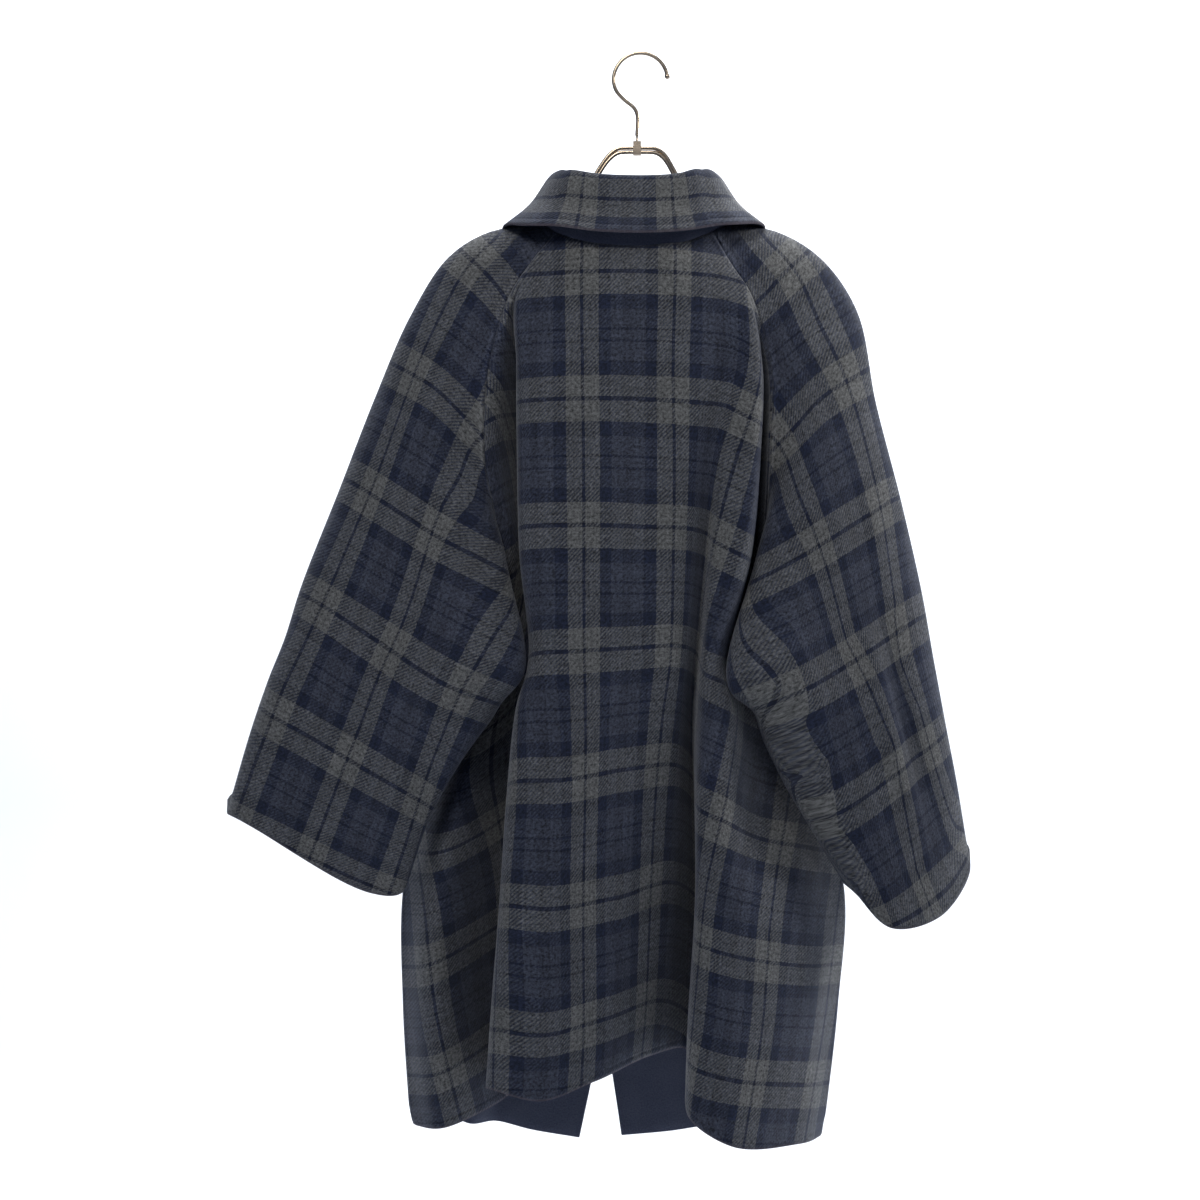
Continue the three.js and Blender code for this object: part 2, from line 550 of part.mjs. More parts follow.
// One wire bent to a closed frame: its two ends meet side by side in the ferrule
function hangerFrame() {
  const run = (arm, tip, sign) => [
    ...ARCH.map(([x, drop]) => [STEM_X + sign * x, ARCH_TOP_Z - drop]),
    ...arm,
    tip,
  ];
  const lowerOf = (points) => points.map(([x, z]) => [x * LOWER_RUN_SHARE, z - WIRE_PITCH]);
  const leftUpper = run(LEFT_ARM, LEFT_TIP, -1);
  const rightUpper = run(RIGHT_ARM, RIGHT_TIP, 1);
  const bend = ([x, z], sign) => TIP_BEND.map(([out, drop]) => [x + sign * out, z - drop]);
  const leftBend = bend(LEFT_TIP, -1);
  const rightBend = bend(RIGHT_TIP, 1);
  const path = [
    [STEM_X - END_GAP, ARCH_TOP_Z - WIRE_PITCH],
    ...lowerOf(leftUpper.slice(0, -1)),
    ...[...leftBend].reverse(),
    ...[...leftUpper].reverse(),
    [STEM_X, ARCH_TOP_Z],
    ...rightUpper,
    ...rightBend,
    ...lowerOf(rightUpper.slice(0, -1)).reverse(),
    [STEM_X + END_GAP, ARCH_TOP_Z - WIRE_PITCH],
  ].map(inPlane);
  const line = new THREE.CatmullRomCurve3(path, false, "centripetal");
  const mesh = new THREE.Mesh(wireGeometry(line, 4, FRAME_STEPS), steel(STEEL_TONE));
  mesh.name = "hanger_frame";
  return mesh;
}

function solidOf(geometry) {
  const bare = geometry.clone();
  bare.deleteAttribute("normal");
  bare.deleteAttribute("uv");
  const merged = mergeVertices(bare, 1e-4);
  return new wasm.Manifold(new wasm.Mesh({
    numProp: 3,
    vertProperties: new Float32Array(merged.attributes.position.array),
    triVerts: new Uint32Array(merged.index.array),
  }));
}

function geometryOf(solid) {
  const { vertProperties, triVerts } = solid.getMesh();
  const geometry = new THREE.BufferGeometry();
  geometry.setAttribute("position", new THREE.BufferAttribute(new Float32Array(vertProperties), 3));
  geometry.setIndex(new THREE.BufferAttribute(new Uint32Array(triVerts), 1));
  return geometry;
}

// The hook: a round bend, a reverse curve down to the stem, and the swivel pin below it
function hangerHook() {
  const [ballPlace, bendEnd, ...lower] = HOOK_PATH;
  const centreZ = WIRE / 2 - HOOK_RADIUS;
  const startAngle = Math.atan2(ballPlace[1] - centreZ, ballPlace[0]);
  const endAngle = Math.PI - Math.atan2(bendEnd[1] - centreZ, bendEnd[0] * -1);
  const arc = [];
  const arcSteps = 12;
  for (let k = 0; k <= arcSteps; k += 1) {
    const angle = between(startAngle, endAngle, k / arcSteps);
    arc.push([HOOK_RADIUS * Math.cos(angle), centreZ + HOOK_RADIUS * Math.sin(angle)]);
  }
  const line = new THREE.CatmullRomCurve3([...arc, ...lower].map(inPlane), false, "centripetal");
  const bow = solidOf(wireGeometry(line, 5, HOOK_STEPS));
  const ball = solidOf(new THREE.SphereGeometry(BALL_RADIUS, 12, 8).translate(arc[0][0], 0, arc[0][1]));
  const pinTop = lower[lower.length - 1][1] + 1;
  const pinBottom = FERRULE_TOP - PIN_DEPTH;
  const pin = solidOf(new THREE.CylinderGeometry(PIN_RADIUS, PIN_RADIUS, pinTop - pinBottom, 12)
    .rotateX(Math.PI / 2).translate(STEM_X, 0, (pinTop + pinBottom) / 2));
  const mesh = new THREE.Mesh(geometryOf(bow.add(ball).add(pin)), steel(STEEL_TONE));
  mesh.name = "hanger_hook";
  return mesh;
}

// The ferrule clamps both runs of the frame wire and carries the hook's swivel pin
function hangerFerrule() {
  const middle = FERRULE_TOP - FERRULE_HEIGHT / 2;
  const block = solidOf(new THREE.BoxGeometry(FERRULE_WIDTH, FERRULE_DEPTH, FERRULE_HEIGHT)
    .translate(STEM_X, 0, middle));
  const slotHalf = WIRE / 2 + SEAM_GAP;
  const slot = new THREE.Shape();
  slot.absarc(0, 0, slotHalf, 0, Math.PI, false);
  slot.absarc(0, -WIRE_PITCH, slotHalf, Math.PI, Math.PI * 2, false);
  const channel = solidOf(new THREE.ExtrudeGeometry(slot, {
    curveSegments: 6, depth: FERRULE_WIDTH + 4, bevelEnabled: false })
    .rotateX(Math.PI / 2).rotateZ(Math.PI / 2).translate(STEM_X - FERRULE_WIDTH / 2 - 2, 0, ARCH_TOP_Z));
  const bore = solidOf(new THREE.CylinderGeometry(PIN_RADIUS + SEAM_GAP, PIN_RADIUS + SEAM_GAP, 8, 12)
    .rotateX(Math.PI / 2).translate(STEM_X, 0, FERRULE_TOP));
  const mesh = new THREE.Mesh(geometryOf(block.subtract(channel).subtract(bore)), steel(STEEL_TONE));
  mesh.name = "hanger_ferrule";
  return mesh;
}

const panels = coatPanels();
const coat = new THREE.Group();
coat.add(
  hangerHook(),
  hangerFerrule(),
  hangerFrame(),
  clothPiece("back", panels.back, 1, PLAID_TONE),
  clothPiece("front_left", panels.frontLeft, 1, PLAID_TONE),
  clothPiece("front_right", panels.frontRight, -1, PLAID_TONE),
  clothPiece("sleeve_left", panels.sleeveLeft, -1, PLAID_TONE),
  clothPiece("sleeve_right", panels.sleeveRight, 1, PLAID_TONE),
  clothPiece("collar", panels.collar, 1, COLLAR_TONE),
  buttons(panels.frontRight),
);

export default coat;
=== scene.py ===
import json
import math
import bmesh
import bpy
import numpy as np
from mathutils import Matrix, Vector

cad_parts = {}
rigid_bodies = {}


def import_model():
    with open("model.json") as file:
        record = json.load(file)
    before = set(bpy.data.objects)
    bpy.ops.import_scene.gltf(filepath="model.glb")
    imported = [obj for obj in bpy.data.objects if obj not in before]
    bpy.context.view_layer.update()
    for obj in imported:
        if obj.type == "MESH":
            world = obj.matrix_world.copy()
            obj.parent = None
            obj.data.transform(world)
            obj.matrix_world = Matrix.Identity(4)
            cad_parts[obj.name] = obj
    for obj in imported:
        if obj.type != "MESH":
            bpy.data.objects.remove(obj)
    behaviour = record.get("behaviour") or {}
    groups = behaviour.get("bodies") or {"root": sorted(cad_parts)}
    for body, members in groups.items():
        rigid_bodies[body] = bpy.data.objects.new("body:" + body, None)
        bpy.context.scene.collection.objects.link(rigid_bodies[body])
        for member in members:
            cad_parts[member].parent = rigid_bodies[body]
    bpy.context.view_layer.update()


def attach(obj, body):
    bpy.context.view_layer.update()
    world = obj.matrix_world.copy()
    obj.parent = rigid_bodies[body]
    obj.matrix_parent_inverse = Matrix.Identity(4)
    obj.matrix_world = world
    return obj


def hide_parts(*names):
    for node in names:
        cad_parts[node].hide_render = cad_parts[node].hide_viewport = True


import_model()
MM = 0.001

# The camera stands behind the coat, level with its middle, 2.2 m away.
camera_data = bpy.data.cameras.new("camera")
camera_data.sensor_width = 36
camera_data.lens = 66
camera = bpy.data.objects.new("camera", camera_data)
camera.location = (-0.0405, -2.2, -0.545)
camera.rotation_euler = (math.radians(90), 0, 0)
bpy.context.scene.collection.objects.link(camera)
bpy.context.scene.camera = camera


# Cloth surface. Each panel is a smooth surface through short sections of control points in
# millimetres. A bmesh grid is laid on it, and the cloth's own flat sizes become its UV map.
def smooth_line(points, places):
    """Centripetal curve through points[n, line, xyz and more], read at fractional point numbers."""
    points = np.asarray(points, float)
    last = len(points) - 1
    read = []
    for place in places:
        i = min(int(place), last - 1)
        w = place - i
        b, c = points[i], points[i + 1]
        a = points[i - 1] if i else 2 * b - c
        d = points[i + 2] if i + 2 <= last else 2 * c - b
        spans = [(q - p)[..., :3] for p, q in ((a, b), (b, c), (c, d))]
        gaps = [np.sqrt(np.linalg.norm(span, axis=-1, keepdims=True)) for span in spans]
        g1 = np.where(gaps[1] < 1e-4, 1.0, gaps[1])
        g0 = np.where(gaps[0] < 1e-4, g1, gaps[0])
        g2 = np.where(gaps[2] < 1e-4, g1, gaps[2])
        t1 = ((b - a) / g0 - (c - a) / (g0 + g1) + (c - b) / g1) * g1
        t2 = ((c - b) / g1 - (d - b) / (g1 + g2) + (d - c) / g2) * g1
        read.append(b + t1 * w + (-3 * b + 3 * c - 2 * t1 - t2) * w**2 + (2 * b - 2 * c + t1 + t2) * w**3)
    return np.array(read)


def stations(steps, finer):
    """Fractional section numbers, each step cut finer times."""
    places = [i + k / (count * finer) for i, count in enumerate(steps) for k in range(count * finer)]
    return places + [len(steps)]


UNDERARM = 6


def smooth_surface(sections, down_steps, across_steps, finer):
    """grid[row, column] through sections[row][control]; the outer columns turn at the underarm."""
    sections = np.asarray(sections, float)
    across = stations(across_steps, finer)
    down = stations(down_steps, finer)
    ribs = smooth_line(np.swapaxes(sections, 0, 1), across).swapaxes(0, 1)
    grid = smooth_line(ribs, down)
    upper = [p for p in down if p <= UNDERARM]
    lower = [p - UNDERARM for p in down if p > UNDERARM]
    for column in (0, -1):
        seam = ribs[:, column:, :][:, :1, :]
        read = [smooth_line(seam[: UNDERARM + 1], upper)]
        if lower:
            read.append(smooth_line(seam[UNDERARM:], lower))
        grid[:, column] = np.concatenate(read)[:, 0]
    return grid


def lengths(grid, axis):
    """Distance along the cloth from the first row or column."""
    steps = np.linalg.norm(np.diff(grid, axis=axis), axis=-1)
    pad = [(1, 0), (0, 0)] if axis == 0 else [(0, 0), (1, 0)]
    return np.pad(np.cumsum(steps, axis=axis), pad)


def outward_normals(grid, sign):
    down = np.gradient(grid, axis=0)
    across = np.gradient(grid, axis=1)
    normal = np.cross(down, across) * sign
    return normal / np.maximum(np.linalg.norm(normal, axis=-1, keepdims=True), 1e-9)


def soft_lines(flat, lines):
    """Soft troughs (negative) and ridges along lines in the cloth's flat sizes."""
    lift = np.zeros(flat.shape[:2])
    for u0, v0, u1, v1, width, depth in lines:
        start, run = np.array([u0, v0]), np.array([u1 - u0, v1 - v0])
        share = np.clip(((flat - start) @ run) / (run @ run), -0.3, 1.3)
        away = np.linalg.norm(flat - start - share[..., None] * run, axis=-1)
        ends = np.clip(1 - np.abs(share - 0.5) / 0.8, 0, 1) ** 0.7
        lift += depth * np.exp(-((away / width) ** 2)) * ends
    return lift


def round_corner(grid, column):
    """The hem eased up where the wall turns at a side seam or a folded edge."""
    across, down = lengths(grid, 1), lengths(grid, 0)
    near = np.clip(1 - np.abs(across - across[:, column][:, None]) / CORNER, 0, 1)
    fade = np.exp(-(((down[-1:] - down) / CORNER) ** 2))
    grid[..., 2] += CORNER * (1 - np.sqrt(1 - near ** 2)) * fade


def creased(grid, flat, sign, creases):
    """The grid with its creases pushed out along the cloth's normals."""
    return grid + outward_normals(grid, sign) * soft_lines(flat, creases)[..., None]


CLOTH = 2.6
CORNER = 13.0
EDGE_ROUND = 1.1


def lay_cloth(name, grid, flat, trim, sign, materials):
    """A shell of cloth on the grid, with its flat sizes and its distances to seam and edge as UVs."""
    rows, columns = grid.shape[:2]
    bm = bmesh.new()
    bmesh.ops.create_grid(bm, x_segments=columns - 1, y_segments=rows - 1, size=0.5)
    maps = [bm.loops.layers.uv.new("cloth"), bm.loops.layers.uv.new("trim")]
    place = {}
    for v in bm.verts:
        r, c = round((0.5 - v.co.y) * (rows - 1)), round((v.co.x + 0.5) * (columns - 1))
        place[v] = (r, c)
        v.co = Vector(grid[r, c]) * MM
    for face in bm.faces:
        face.smooth = True
        for loop in face.loops:
            r, c = place[loop.vert]
            loop[maps[0]].uv = flat[r, c] * MM
            loop[maps[1]].uv = trim[r, c] * MM
    if sign < 0:
        bmesh.ops.reverse_faces(bm, faces=bm.faces)
    mesh = bpy.data.meshes.new(name)
    bm.to_mesh(mesh)
    bm.free()
    piece = bpy.data.objects.new(name, mesh)
    bpy.context.scene.collection.objects.link(piece)
    for material in materials:
        mesh.materials.append(material)
    wall = piece.modifiers.new("wall", "SOLIDIFY")
    wall.thickness = CLOTH * MM
    wall.offset = 0
    wall.material_offset = 1
    wall.material_offset_rim = 0
    turned = piece.modifiers.new("turned_edge", "BEVEL")
    turned.width = EDGE_ROUND * MM
    turned.segments = 2
    turned.limit_method = "ANGLE"
    turned.angle_limit = math.radians(62)
    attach(piece, "root")
    return piece


# Flannel. Double-faced wool: the face is a 2/2 twill plaid in warm grey and navy, brushed to a
# short nap; the reverse is plain dark navy. Warp stripes run down the cloth, weft stripes across.
class Shade:
    """One shader value. Arithmetic on it adds the Math nodes."""

    def __init__(self, socket):
        self.socket = socket

    def math(self, operation, *others):
        values = dict(enumerate((self, *others)))
        return add(self.socket.id_data, "ShaderNodeMath", {"operation": operation}, values)

    def __add__(self, other):
        return self.math("ADD", other)

    def __sub__(self, other):
        return self.math("SUBTRACT", other)

    def __rsub__(self, other):
        return add(self.socket.id_data, "ShaderNodeMath", {"operation": "SUBTRACT"}, {0: other, 1: self})

    def __mul__(self, other):
        return self.math("MULTIPLY", other)

    __radd__ = __add__
    __rmul__ = __mul__


def add(tree, kind, settings, inputs, output=0):
    """A node of that type: its settings first, then the values or links of its sockets."""
    node = tree.nodes.new(kind)
    stops = settings.pop("stops", None)
    for key, value in settings.items():
        target, attribute = (node.color_ramp, key[5:]) if key.startswith("ramp_") else (node, key)
        setattr(target, attribute, value)
    if stops:
        ramp = node.color_ramp
        while len(ramp.elements) < len(stops):
            ramp.elements.new(0.5)
        for element, (position, colour) in zip(ramp.elements, stops):
            element.position = position
        for element, (position, colour) in zip(ramp.elements, stops):
            element.color = colour if len(colour) == 4 else (*colour, 1)
    for key, value in inputs.items():
        socket = node.inputs[key]
        if isinstance(value, Shade):
            tree.links.new(value.socket, socket)
        else:
            socket.default_value = value
    return Shade(node.outputs[output])


def shown(*eight_bit):
    """Linear colour of an 8-bit screen colour."""
    return tuple((c / 255 / 12.92) if c <= 10 else ((c / 255 + 0.055) / 1.055) ** 2.4 for c in eight_bit)


def grey(level):
    return (level, level, level)


def new_material(name):
    material = bpy.data.materials.new(name)
    material.use_nodes = True
    material.node_tree.nodes.clear()
    return material


def surface_of(material, colour, roughness, normal, **constants):
    """The one shader of a finish; what is the same all over is set on its own sockets."""
    tree = material.node_tree
    inputs = {"Base Color": colour, "Roughness": roughness, "Normal": normal}
    shader = add(tree, "ShaderNodeBsdfPrincipled", {}, inputs)
    for key, value in constants.items():
        shader.socket.node.inputs[key.replace("_", " ")].default_value = value
    tree.links.new(shader.socket, tree.nodes.new("ShaderNodeOutputMaterial").inputs["Surface"])
    return material


WARP_REPEAT = 0.090
WEFT_REPEAT = 0.119
TWILL_PITCH = 0.0040
YARNS = {
    "line": shown(20, 25, 41),
    "light": shown(87, 88, 88),
    "navy": shown(26, 32, 49),
    "slate": shown(53, 57, 69),
    "dim": shown(45, 48, 59),
}
# Stripes from the middle of the light one outward, as shares of half a repeat
WARP_STRIPES = [(0.0, "line"), (0.034, "light"), (0.361, "navy"), (0.62, "slate"), (0.88, "dim")]
WEFT_STRIPES = [
    (0.0, "line"), (0.034, "light"), (0.361, "navy"),
    (0.59, "slate"), (0.885, "line"), (0.925, "slate"),
]
# How the cloth stands beside a seam and beside a turned edge: share of the reach, height
SEAM_REACH = 0.016
SEAM_PROFILE = [(0.0, 0.0), (0.10, 0.75), (0.22, 1.0), (0.42, 0.45), (0.75, 0.5), (1.0, 0.5)]
EDGE_PROFILE = [(0.0, 0.1), (0.15, 0.8), (0.36, 0.8), (0.52, 0.2), (0.64, 0.6), (1.0, 0.6)]


def noise(tree, place, scale, detail, **settings):
    """Soft random grain, its scale in grains a metre."""
    inputs = {"Vector": place, "Scale": scale, "Detail": detail, **settings}
    return add(tree, "ShaderNodeTexNoise", {}, inputs, "Fac")


def slub(tree, flat_map, scale):
    """Thick and thin places along the yarn, long one way and narrow the other."""
    stretched = add(tree, "ShaderNodeMapping", {}, {"Vector": flat_map, "Scale": scale})
    return noise(tree, stretched, 1.0, 3.0)


def flannel_face(name):
    material = new_material(name)
    tree = material.node_tree
    flat_map = add(tree, "ShaderNodeUVMap", {"uv_map": "cloth"}, {})
    trim_map = add(tree, "ShaderNodeUVMap", {"uv_map": "trim"}, {})
    uneven = noise(tree, flat_map, 160.0, 2.0) - 0.5
    parts = {axis: add(tree, "ShaderNodeSeparateXYZ", {}, {0: flat_map}, axis) for axis in ("X", "Y")}
    across = parts["X"] + uneven * 0.0016
    down = parts["Y"] + uneven * 0.0016

    def stripes(place, repeat, table):
        half = ((place * (1 / repeat) + 0.5).math("FRACT") - 0.5).math("ABSOLUTE") * 2
        stops = [(share, YARNS[yarn]) for share, yarn in table]
        settings = {"ramp_interpolation": "CONSTANT", "stops": stops}
        return add(tree, "ShaderNodeValToRGB", settings, {"Fac": half})

    warp = stripes(across, WARP_REPEAT, WARP_STRIPES)
    weft = stripes(down, WEFT_REPEAT, WEFT_STRIPES)
    fuzz = noise(tree, flat_map, 520.0, 3.0, Roughness=0.7)
    diagonal = ((parts["X"] + parts["Y"]) * (2 * math.pi / TWILL_PITCH) + fuzz * 5.0).math("SINE")
    weft_on_top = (diagonal * 0.32 + 0.5 + (fuzz - 0.5) * 1.1).math("MINIMUM", 1.0).math("MAXIMUM", 0.0)
    woven = add(tree, "ShaderNodeMix", {"data_type": "RGBA"}, {"Factor": weft_on_top, 6: warp, 7: weft}, 2)
    heather = noise(tree, flat_map, 330.0, 3.0, Roughness=0.8)
    patches = noise(tree, flat_map, 22.0, 4.0)
    to_seam = add(tree, "ShaderNodeSeparateXYZ", {}, {0: trim_map}, "X")
    to_edge = add(tree, "ShaderNodeSeparateXYZ", {}, {0: trim_map}, "Y")

    def sewn_form(distance, profile):
        stops = [(share, grey(level)) for share, level in profile]
        settings = {"ramp_interpolation": "B_SPLINE", "stops": stops}
        return add(tree, "ShaderNodeValToRGB", settings, {"Fac": distance * (1 / SEAM_REACH)})

    seam_form = sewn_form(to_seam, SEAM_PROFILE)
    edge_form = sewn_form(to_edge, EDGE_PROFILE)
    # Painted highlights: the colour is lightened along the crest of each seam's ridge and at the rolled rim of
    # each turned edge, where these catch the light.
    seam_light = (1.0 - (to_seam * (1 / 0.0042) - 0.8).math("ABSOLUTE")).math("MAXIMUM", 0.0)
    edge_light = (1.0 - to_edge * (1 / 0.0026)).math("MAXIMUM", 0.0)
    warp_slub = slub(tree, flat_map, (480.0, 24.0, 1.0))
    weft_slub = slub(tree, flat_map, (24.0, 480.0, 1.0))
    slubs = warp_slub + (weft_slub - warp_slub) * weft_on_top
    flecks = (heather - 0.5) * 4.0 + (slubs - 0.5) * 1.5 + 1.0
    painted_seam_and_rim_highlight = 1.0 + seam_light * 0.3 + edge_light * 0.25
    tone = flecks.math("MAXIMUM", 0.15) * (0.8 + patches * 0.4) * painted_seam_and_rim_highlight
    value = add(tree, "ShaderNodeCombineXYZ", {}, {0: tone, 1: tone, 2: tone})
    coloured = add(tree, "ShaderNodeVectorMath", {"operation": "MULTIPLY"}, {0: woven, 1: value})
    # Painted highlight: the rims of turned edges are drawn toward a light pinkish grey.
    with_painted_rim_highlight = add(tree, "ShaderNodeMix", {"data_type": "RGBA"}, {
        "Factor": edge_light * 0.7, 6: coloured, 7: (*shown(84, 76, 82), 1)}, 2)
    nap = noise(tree, flat_map, 1300.0, 2.0)
    height = diagonal * 0.16 + fuzz * 0.55 + nap * 0.3
    weave_bump = add(tree, "ShaderNodeBump", {}, {"Strength": 0.55, "Distance": 0.0011, "Height": height})
    sewn = seam_form + edge_form
    relief = add(tree, "ShaderNodeBump", {}, {
        "Strength": 0.9, "Distance": 0.0022, "Height": sewn, "Normal": weave_bump})
    roughness = 0.86 + fuzz * 0.12
    return surface_of(material, with_painted_rim_highlight, roughness, relief, Specular_IOR_Level=0.22,
                      Sheen_Weight=0.16, Sheen_Roughness=0.45, Sheen_Tint=(0.72, 0.76, 0.86, 1))


def flannel_reverse(name):
    material = new_material(name)
    tree = material.node_tree
    flat_map = add(tree, "ShaderNodeUVMap", {"uv_map": "cloth"}, {})
    fuzz = noise(tree, flat_map, 600.0, 3.0)
    shade = fuzz * 0.7 + noise(tree, flat_map, 30.0, 4.0) * 0.3
    stops = [(0.3, shown(60, 65, 81)), (0.7, shown(84, 88, 104))]
    colour = add(tree, "ShaderNodeValToRGB", {"stops": stops}, {"Fac": shade})
    bump = add(tree, "ShaderNodeBump", {}, {"Strength": 0.5, "Distance": 0.001, "Height": fuzz})
    return surface_of(material, colour, 0.9 + fuzz * 0.08, bump, Specular_IOR_Level=0.2,
                      Sheen_Weight=0.12, Sheen_Roughness=0.45, Sheen_Tint=(0.7, 0.75, 0.9, 1))


face = flannel_face("flannel_face")
reverse = flannel_reverse("flannel_reverse")
FLANNEL = (face, reverse)


# Back panel: cut on the fold from neck to hem, flared below the underarms, with raglan armholes.
# On the hanger it drops into a deep fold on each side and stands out in a ridge on the right.
LEFT_SLEEVE = [
    # zBack, zEdge, zFront, backSeam, roll, back, backOuter, edge, frontOuterY, frontY, frontSeam
    [-185, -172, -205, [-84, -42], [-88, -34], [-92, -24], [-96, -12], [-97, -1], 10, 22, [-86, 36]],
    [-215, -178.5, -238, [-106, -50], [-114, -47], [-126, -40], [-143, -21], [-150, -1], 20, 40, [-104, 50]],
    [-250, -204, -272, [-129, -57], [-141, -55], [-158, -48], [-184, -25], [-191, -2], 22, 46, [-122, 60]],
    [-320, -262, -338, [-149, -63], [-163, -63], [-186, -56], [-219.5, -30], [-228.5, -3], 24, 52, [-138, 68]],
    [-400, -345, -412, [-153, -66], [-172, -71], [-205, -68], [-251.2, -40], [-264, -5], 26, 56, [-142, 66]],
    [-500, -438, -505, [-143, -34], [-137, -66], [-190, -84], [-280.8, -54], [-299, -12], 22, 48, [-142, 44]],
    [-600, -532, -600, [-150, 10], [-116, -94], [-180, -100], [-314.9, -66], [-334.5, -22], 12, 30, [-150, 10]],
    [-645, -582, -645, [-139, -46], [-143, -88], [-195, -101], [-331, -72], [-349, -29], 4, 14, [-139, -46]],
    [-697, -624, -697, [-175, -52], [-181, -88], [-225, -99], [-346, -74], [-365, -34], 0, 6, [-175, -52]],
    [-744, -674, -744, [-204, -52], [-210, -86], [-245, -95], [-362.6, -73], [-382, -36], 0, 6, [-204, -52]],
    [-797, -755, -797, [-226, -48], [-233, -80], [-262, -88], [-388, -66], [-406, -34], 0, 4, [-226, -48]],
]
RIGHT_SLEEVE = [
    [-184, -172, -204, [69.5, -42], [75, -34], [80, -24], [84, -12], [86, -1], 10, 22, [72, 36]],
    [-215, -178, -237, [86, -50], [95, -47], [108, -40], [126, -21], [134, -1], 20, 40, [88, 50]],
    [-250, -205, -272, [107, -58], [121, -56], [140, -49], [170, -25], [179, -2], 22, 46, [106, 60]],
    [-320, -258, -338, [126, -60], [140, -62], [165, -57], [205.6, -30], [215, -3], 24, 52, [122, 68]],
    [-400, -350, -412, [125, -60], [146, -71], [175, -70], [219.8, -42], [233, -6], 26, 56, [124, 66]],
    [-500, -448, -505, [124, -28], [113, -78], [165, -88], [241.2, -56], [257, -14], 22, 46, [126, 42]],
    [-606, -540, -606, [128, 8], [84, -106], [150, -104], [258, -70], [276, -26], 10, 28, [128, 8]],
    [-655, -600, -655, [112, -53], [114, -96], [165, -108], [269.8, -80], [285, -34], 2, 12, [112, -53]],
    [-712, -666, -712, [134, -55], [138, -94], [180, -106], [282.2, -82], [297, -36], -2, 8, [134, -55]],
    [-769, -730, -769, [167, -52], [171, -88], [205, -101], [293.9, -80], [309.5, -36], 0, 8, [167, -52]],
    [-822, -804, -822, [199, -44], [208, -76], [238, -98], [287.2, -82], [322, -36], 8, 14, [199, -44]],
]
BACK_INNER = [
    # leftRoll, leftValley, leftFold, midLeft, centre, midRight, rightValley, ridgeEdge, ridge, slope
    [[-80, -45], [-76, -48], [-68, -52], [-45, -58], [-2, -61],
      [30, -60], [45, -57], [52, -54], [60, -49], [65, -45]],
    [[-103, -53], [-98, -56], [-90, -61], [-58, -70], [-2, -72],
      [36, -71], [56, -67], [68, -63], [76, -59], [81, -55]],
    [[-126, -60], [-122, -60], [-116, -70], [-70, -80], [-2, -82],
      [45, -80], [75, -76], [90, -73], [100, -69], [104, -64]],
    [[-138, -60], [-122, -28], [-115.5, -83], [-66, -88], [-1, -88],
      [50, -84], [88, -77], [99, -82], [112, -82], [119, -45]],
    [[-141, -56], [-118, 0], [-114.5, -89], [-60, -94], [0, -92],
      [48, -88], [72, -79], [84, -89], [108, -94], [117, -18]],
    [[-128, -36], [-110, 2], [-113, -95], [-64, -102], [-5, -101],
      [42, -94], [62, -74], [71, -97], [98, -103], [111, -14]],
    [[-132, 6], [-106, -12], [-105, -88], [-62, -106], [-8, -107],
      [35, -98], [54, -68], [62, -101], [72, -100], [100, -4]],
    [[-146, -8], [-116, -5], [-117, -96], [-66, -110], [-12, -110],
      [30, -95], [50, -50], [60, -106], [80, -104], [103, -46]],
    [[-178, -36], [-128, 8], [-124, -103], [-74, -115], [-18, -113],
      [28, -88], [52, -30], [56, -116], [78, -120], [120, -62]],
    [[-198, -58], [-134, 8], [-131, -106], [-85, -119], [-25, -113],
      [24, -80], [56, -16], [55, -120], [82, -132], [148, -96]],
    [[-200, -62], [-140, 16], [-140, -110], [-92, -122], [-38, -112],
      [14, -64], [50, -8], [48, -124], [78, -136], [150, -94]],
    [[-192, -52], [-136, 26], [-145, -108], [-96, -119], [-45, -104],
      [8, -44], [46, 0], [46, -124], [84, -136], [150, -84]],
]
BACK_NECK_Z = [-187, -189, -192, -198, -201, -199, -196, -193, -189, -186.5]
BACK_HEM_Z = [-1060, -1048, -1010, -1019, -1003, -991, -994, -1036, -1058, -1068]
LEFT_SIDE = [
    [-174, 22, -650], [-214, 22, -730], [-237, 12, -832],
    [-237.5, 11, -950], [-230, 8, -1071],
]
RIGHT_SIDE = [[144, 20, -655], [172, 19, -735], [203, 8, -832], [197, 6, -950], [182, 4, -1080]]

ARMHOLE_STEPS = [1, 1, 2, 2, 2, 3]
BODY_STEPS = [*ARMHOLE_STEPS, 2, 2, 3, 3, 3]
BACK_ACROSS_STEPS = [2, 3, 4, 3, 3, 3, 2, 3, 3, 3, 3]
# Where each fold line lies on the flat cloth: across from the left light stripe of the middle
BACK_CUT_ACROSS = [
    # leftSeam, leftRoll, leftValley, leftFold, midLeft, centre, midRight, rightValley, ridgeEdge,
    # ridge, slope, rightSeam
    [-27, -23, -19, -10, 13, 55, 88, 103, 110, 118, 123, 128],
    [-49, -46, -41, -33, 0, 56, 94, 115, 127, 136, 142, 148],
    [-78, -73, -68, -60, -12, 56, 104, 136, 150, 162, 168, 174],
    [-163, -152, -114, -61, -9, 58, 111, 148, 160, 177, 214, 233],
    [-228, -212, -151, -62, -4, 59, 111, 156, 171, 196, 266, 300],
    [-226, -206, -159, -62, -9, 55, 108, 165, 185, 214, 288, 318],
    [-210, -184, -140, -56, -8, 54, 105, 180, 209, 223, 290, 330],
    [-215, -185, -150, -72, -14, 52, 106, 160, 218, 248, 288, 340],
    [-250, -205, -158, -81, -25, 50, 115, 178, 240, 269, 322, 385],
    [-294, -253, -176, -81, -36, 43, 117, 177, 262, 305, 393, 455],
    [-306, -271, -192, -90, -45, 25, 110, 169, 271, 313, 412, 470],
    [-325, -287, -207, -96, -45, 18, 105, 164, 288, 346, 442, 485],
]
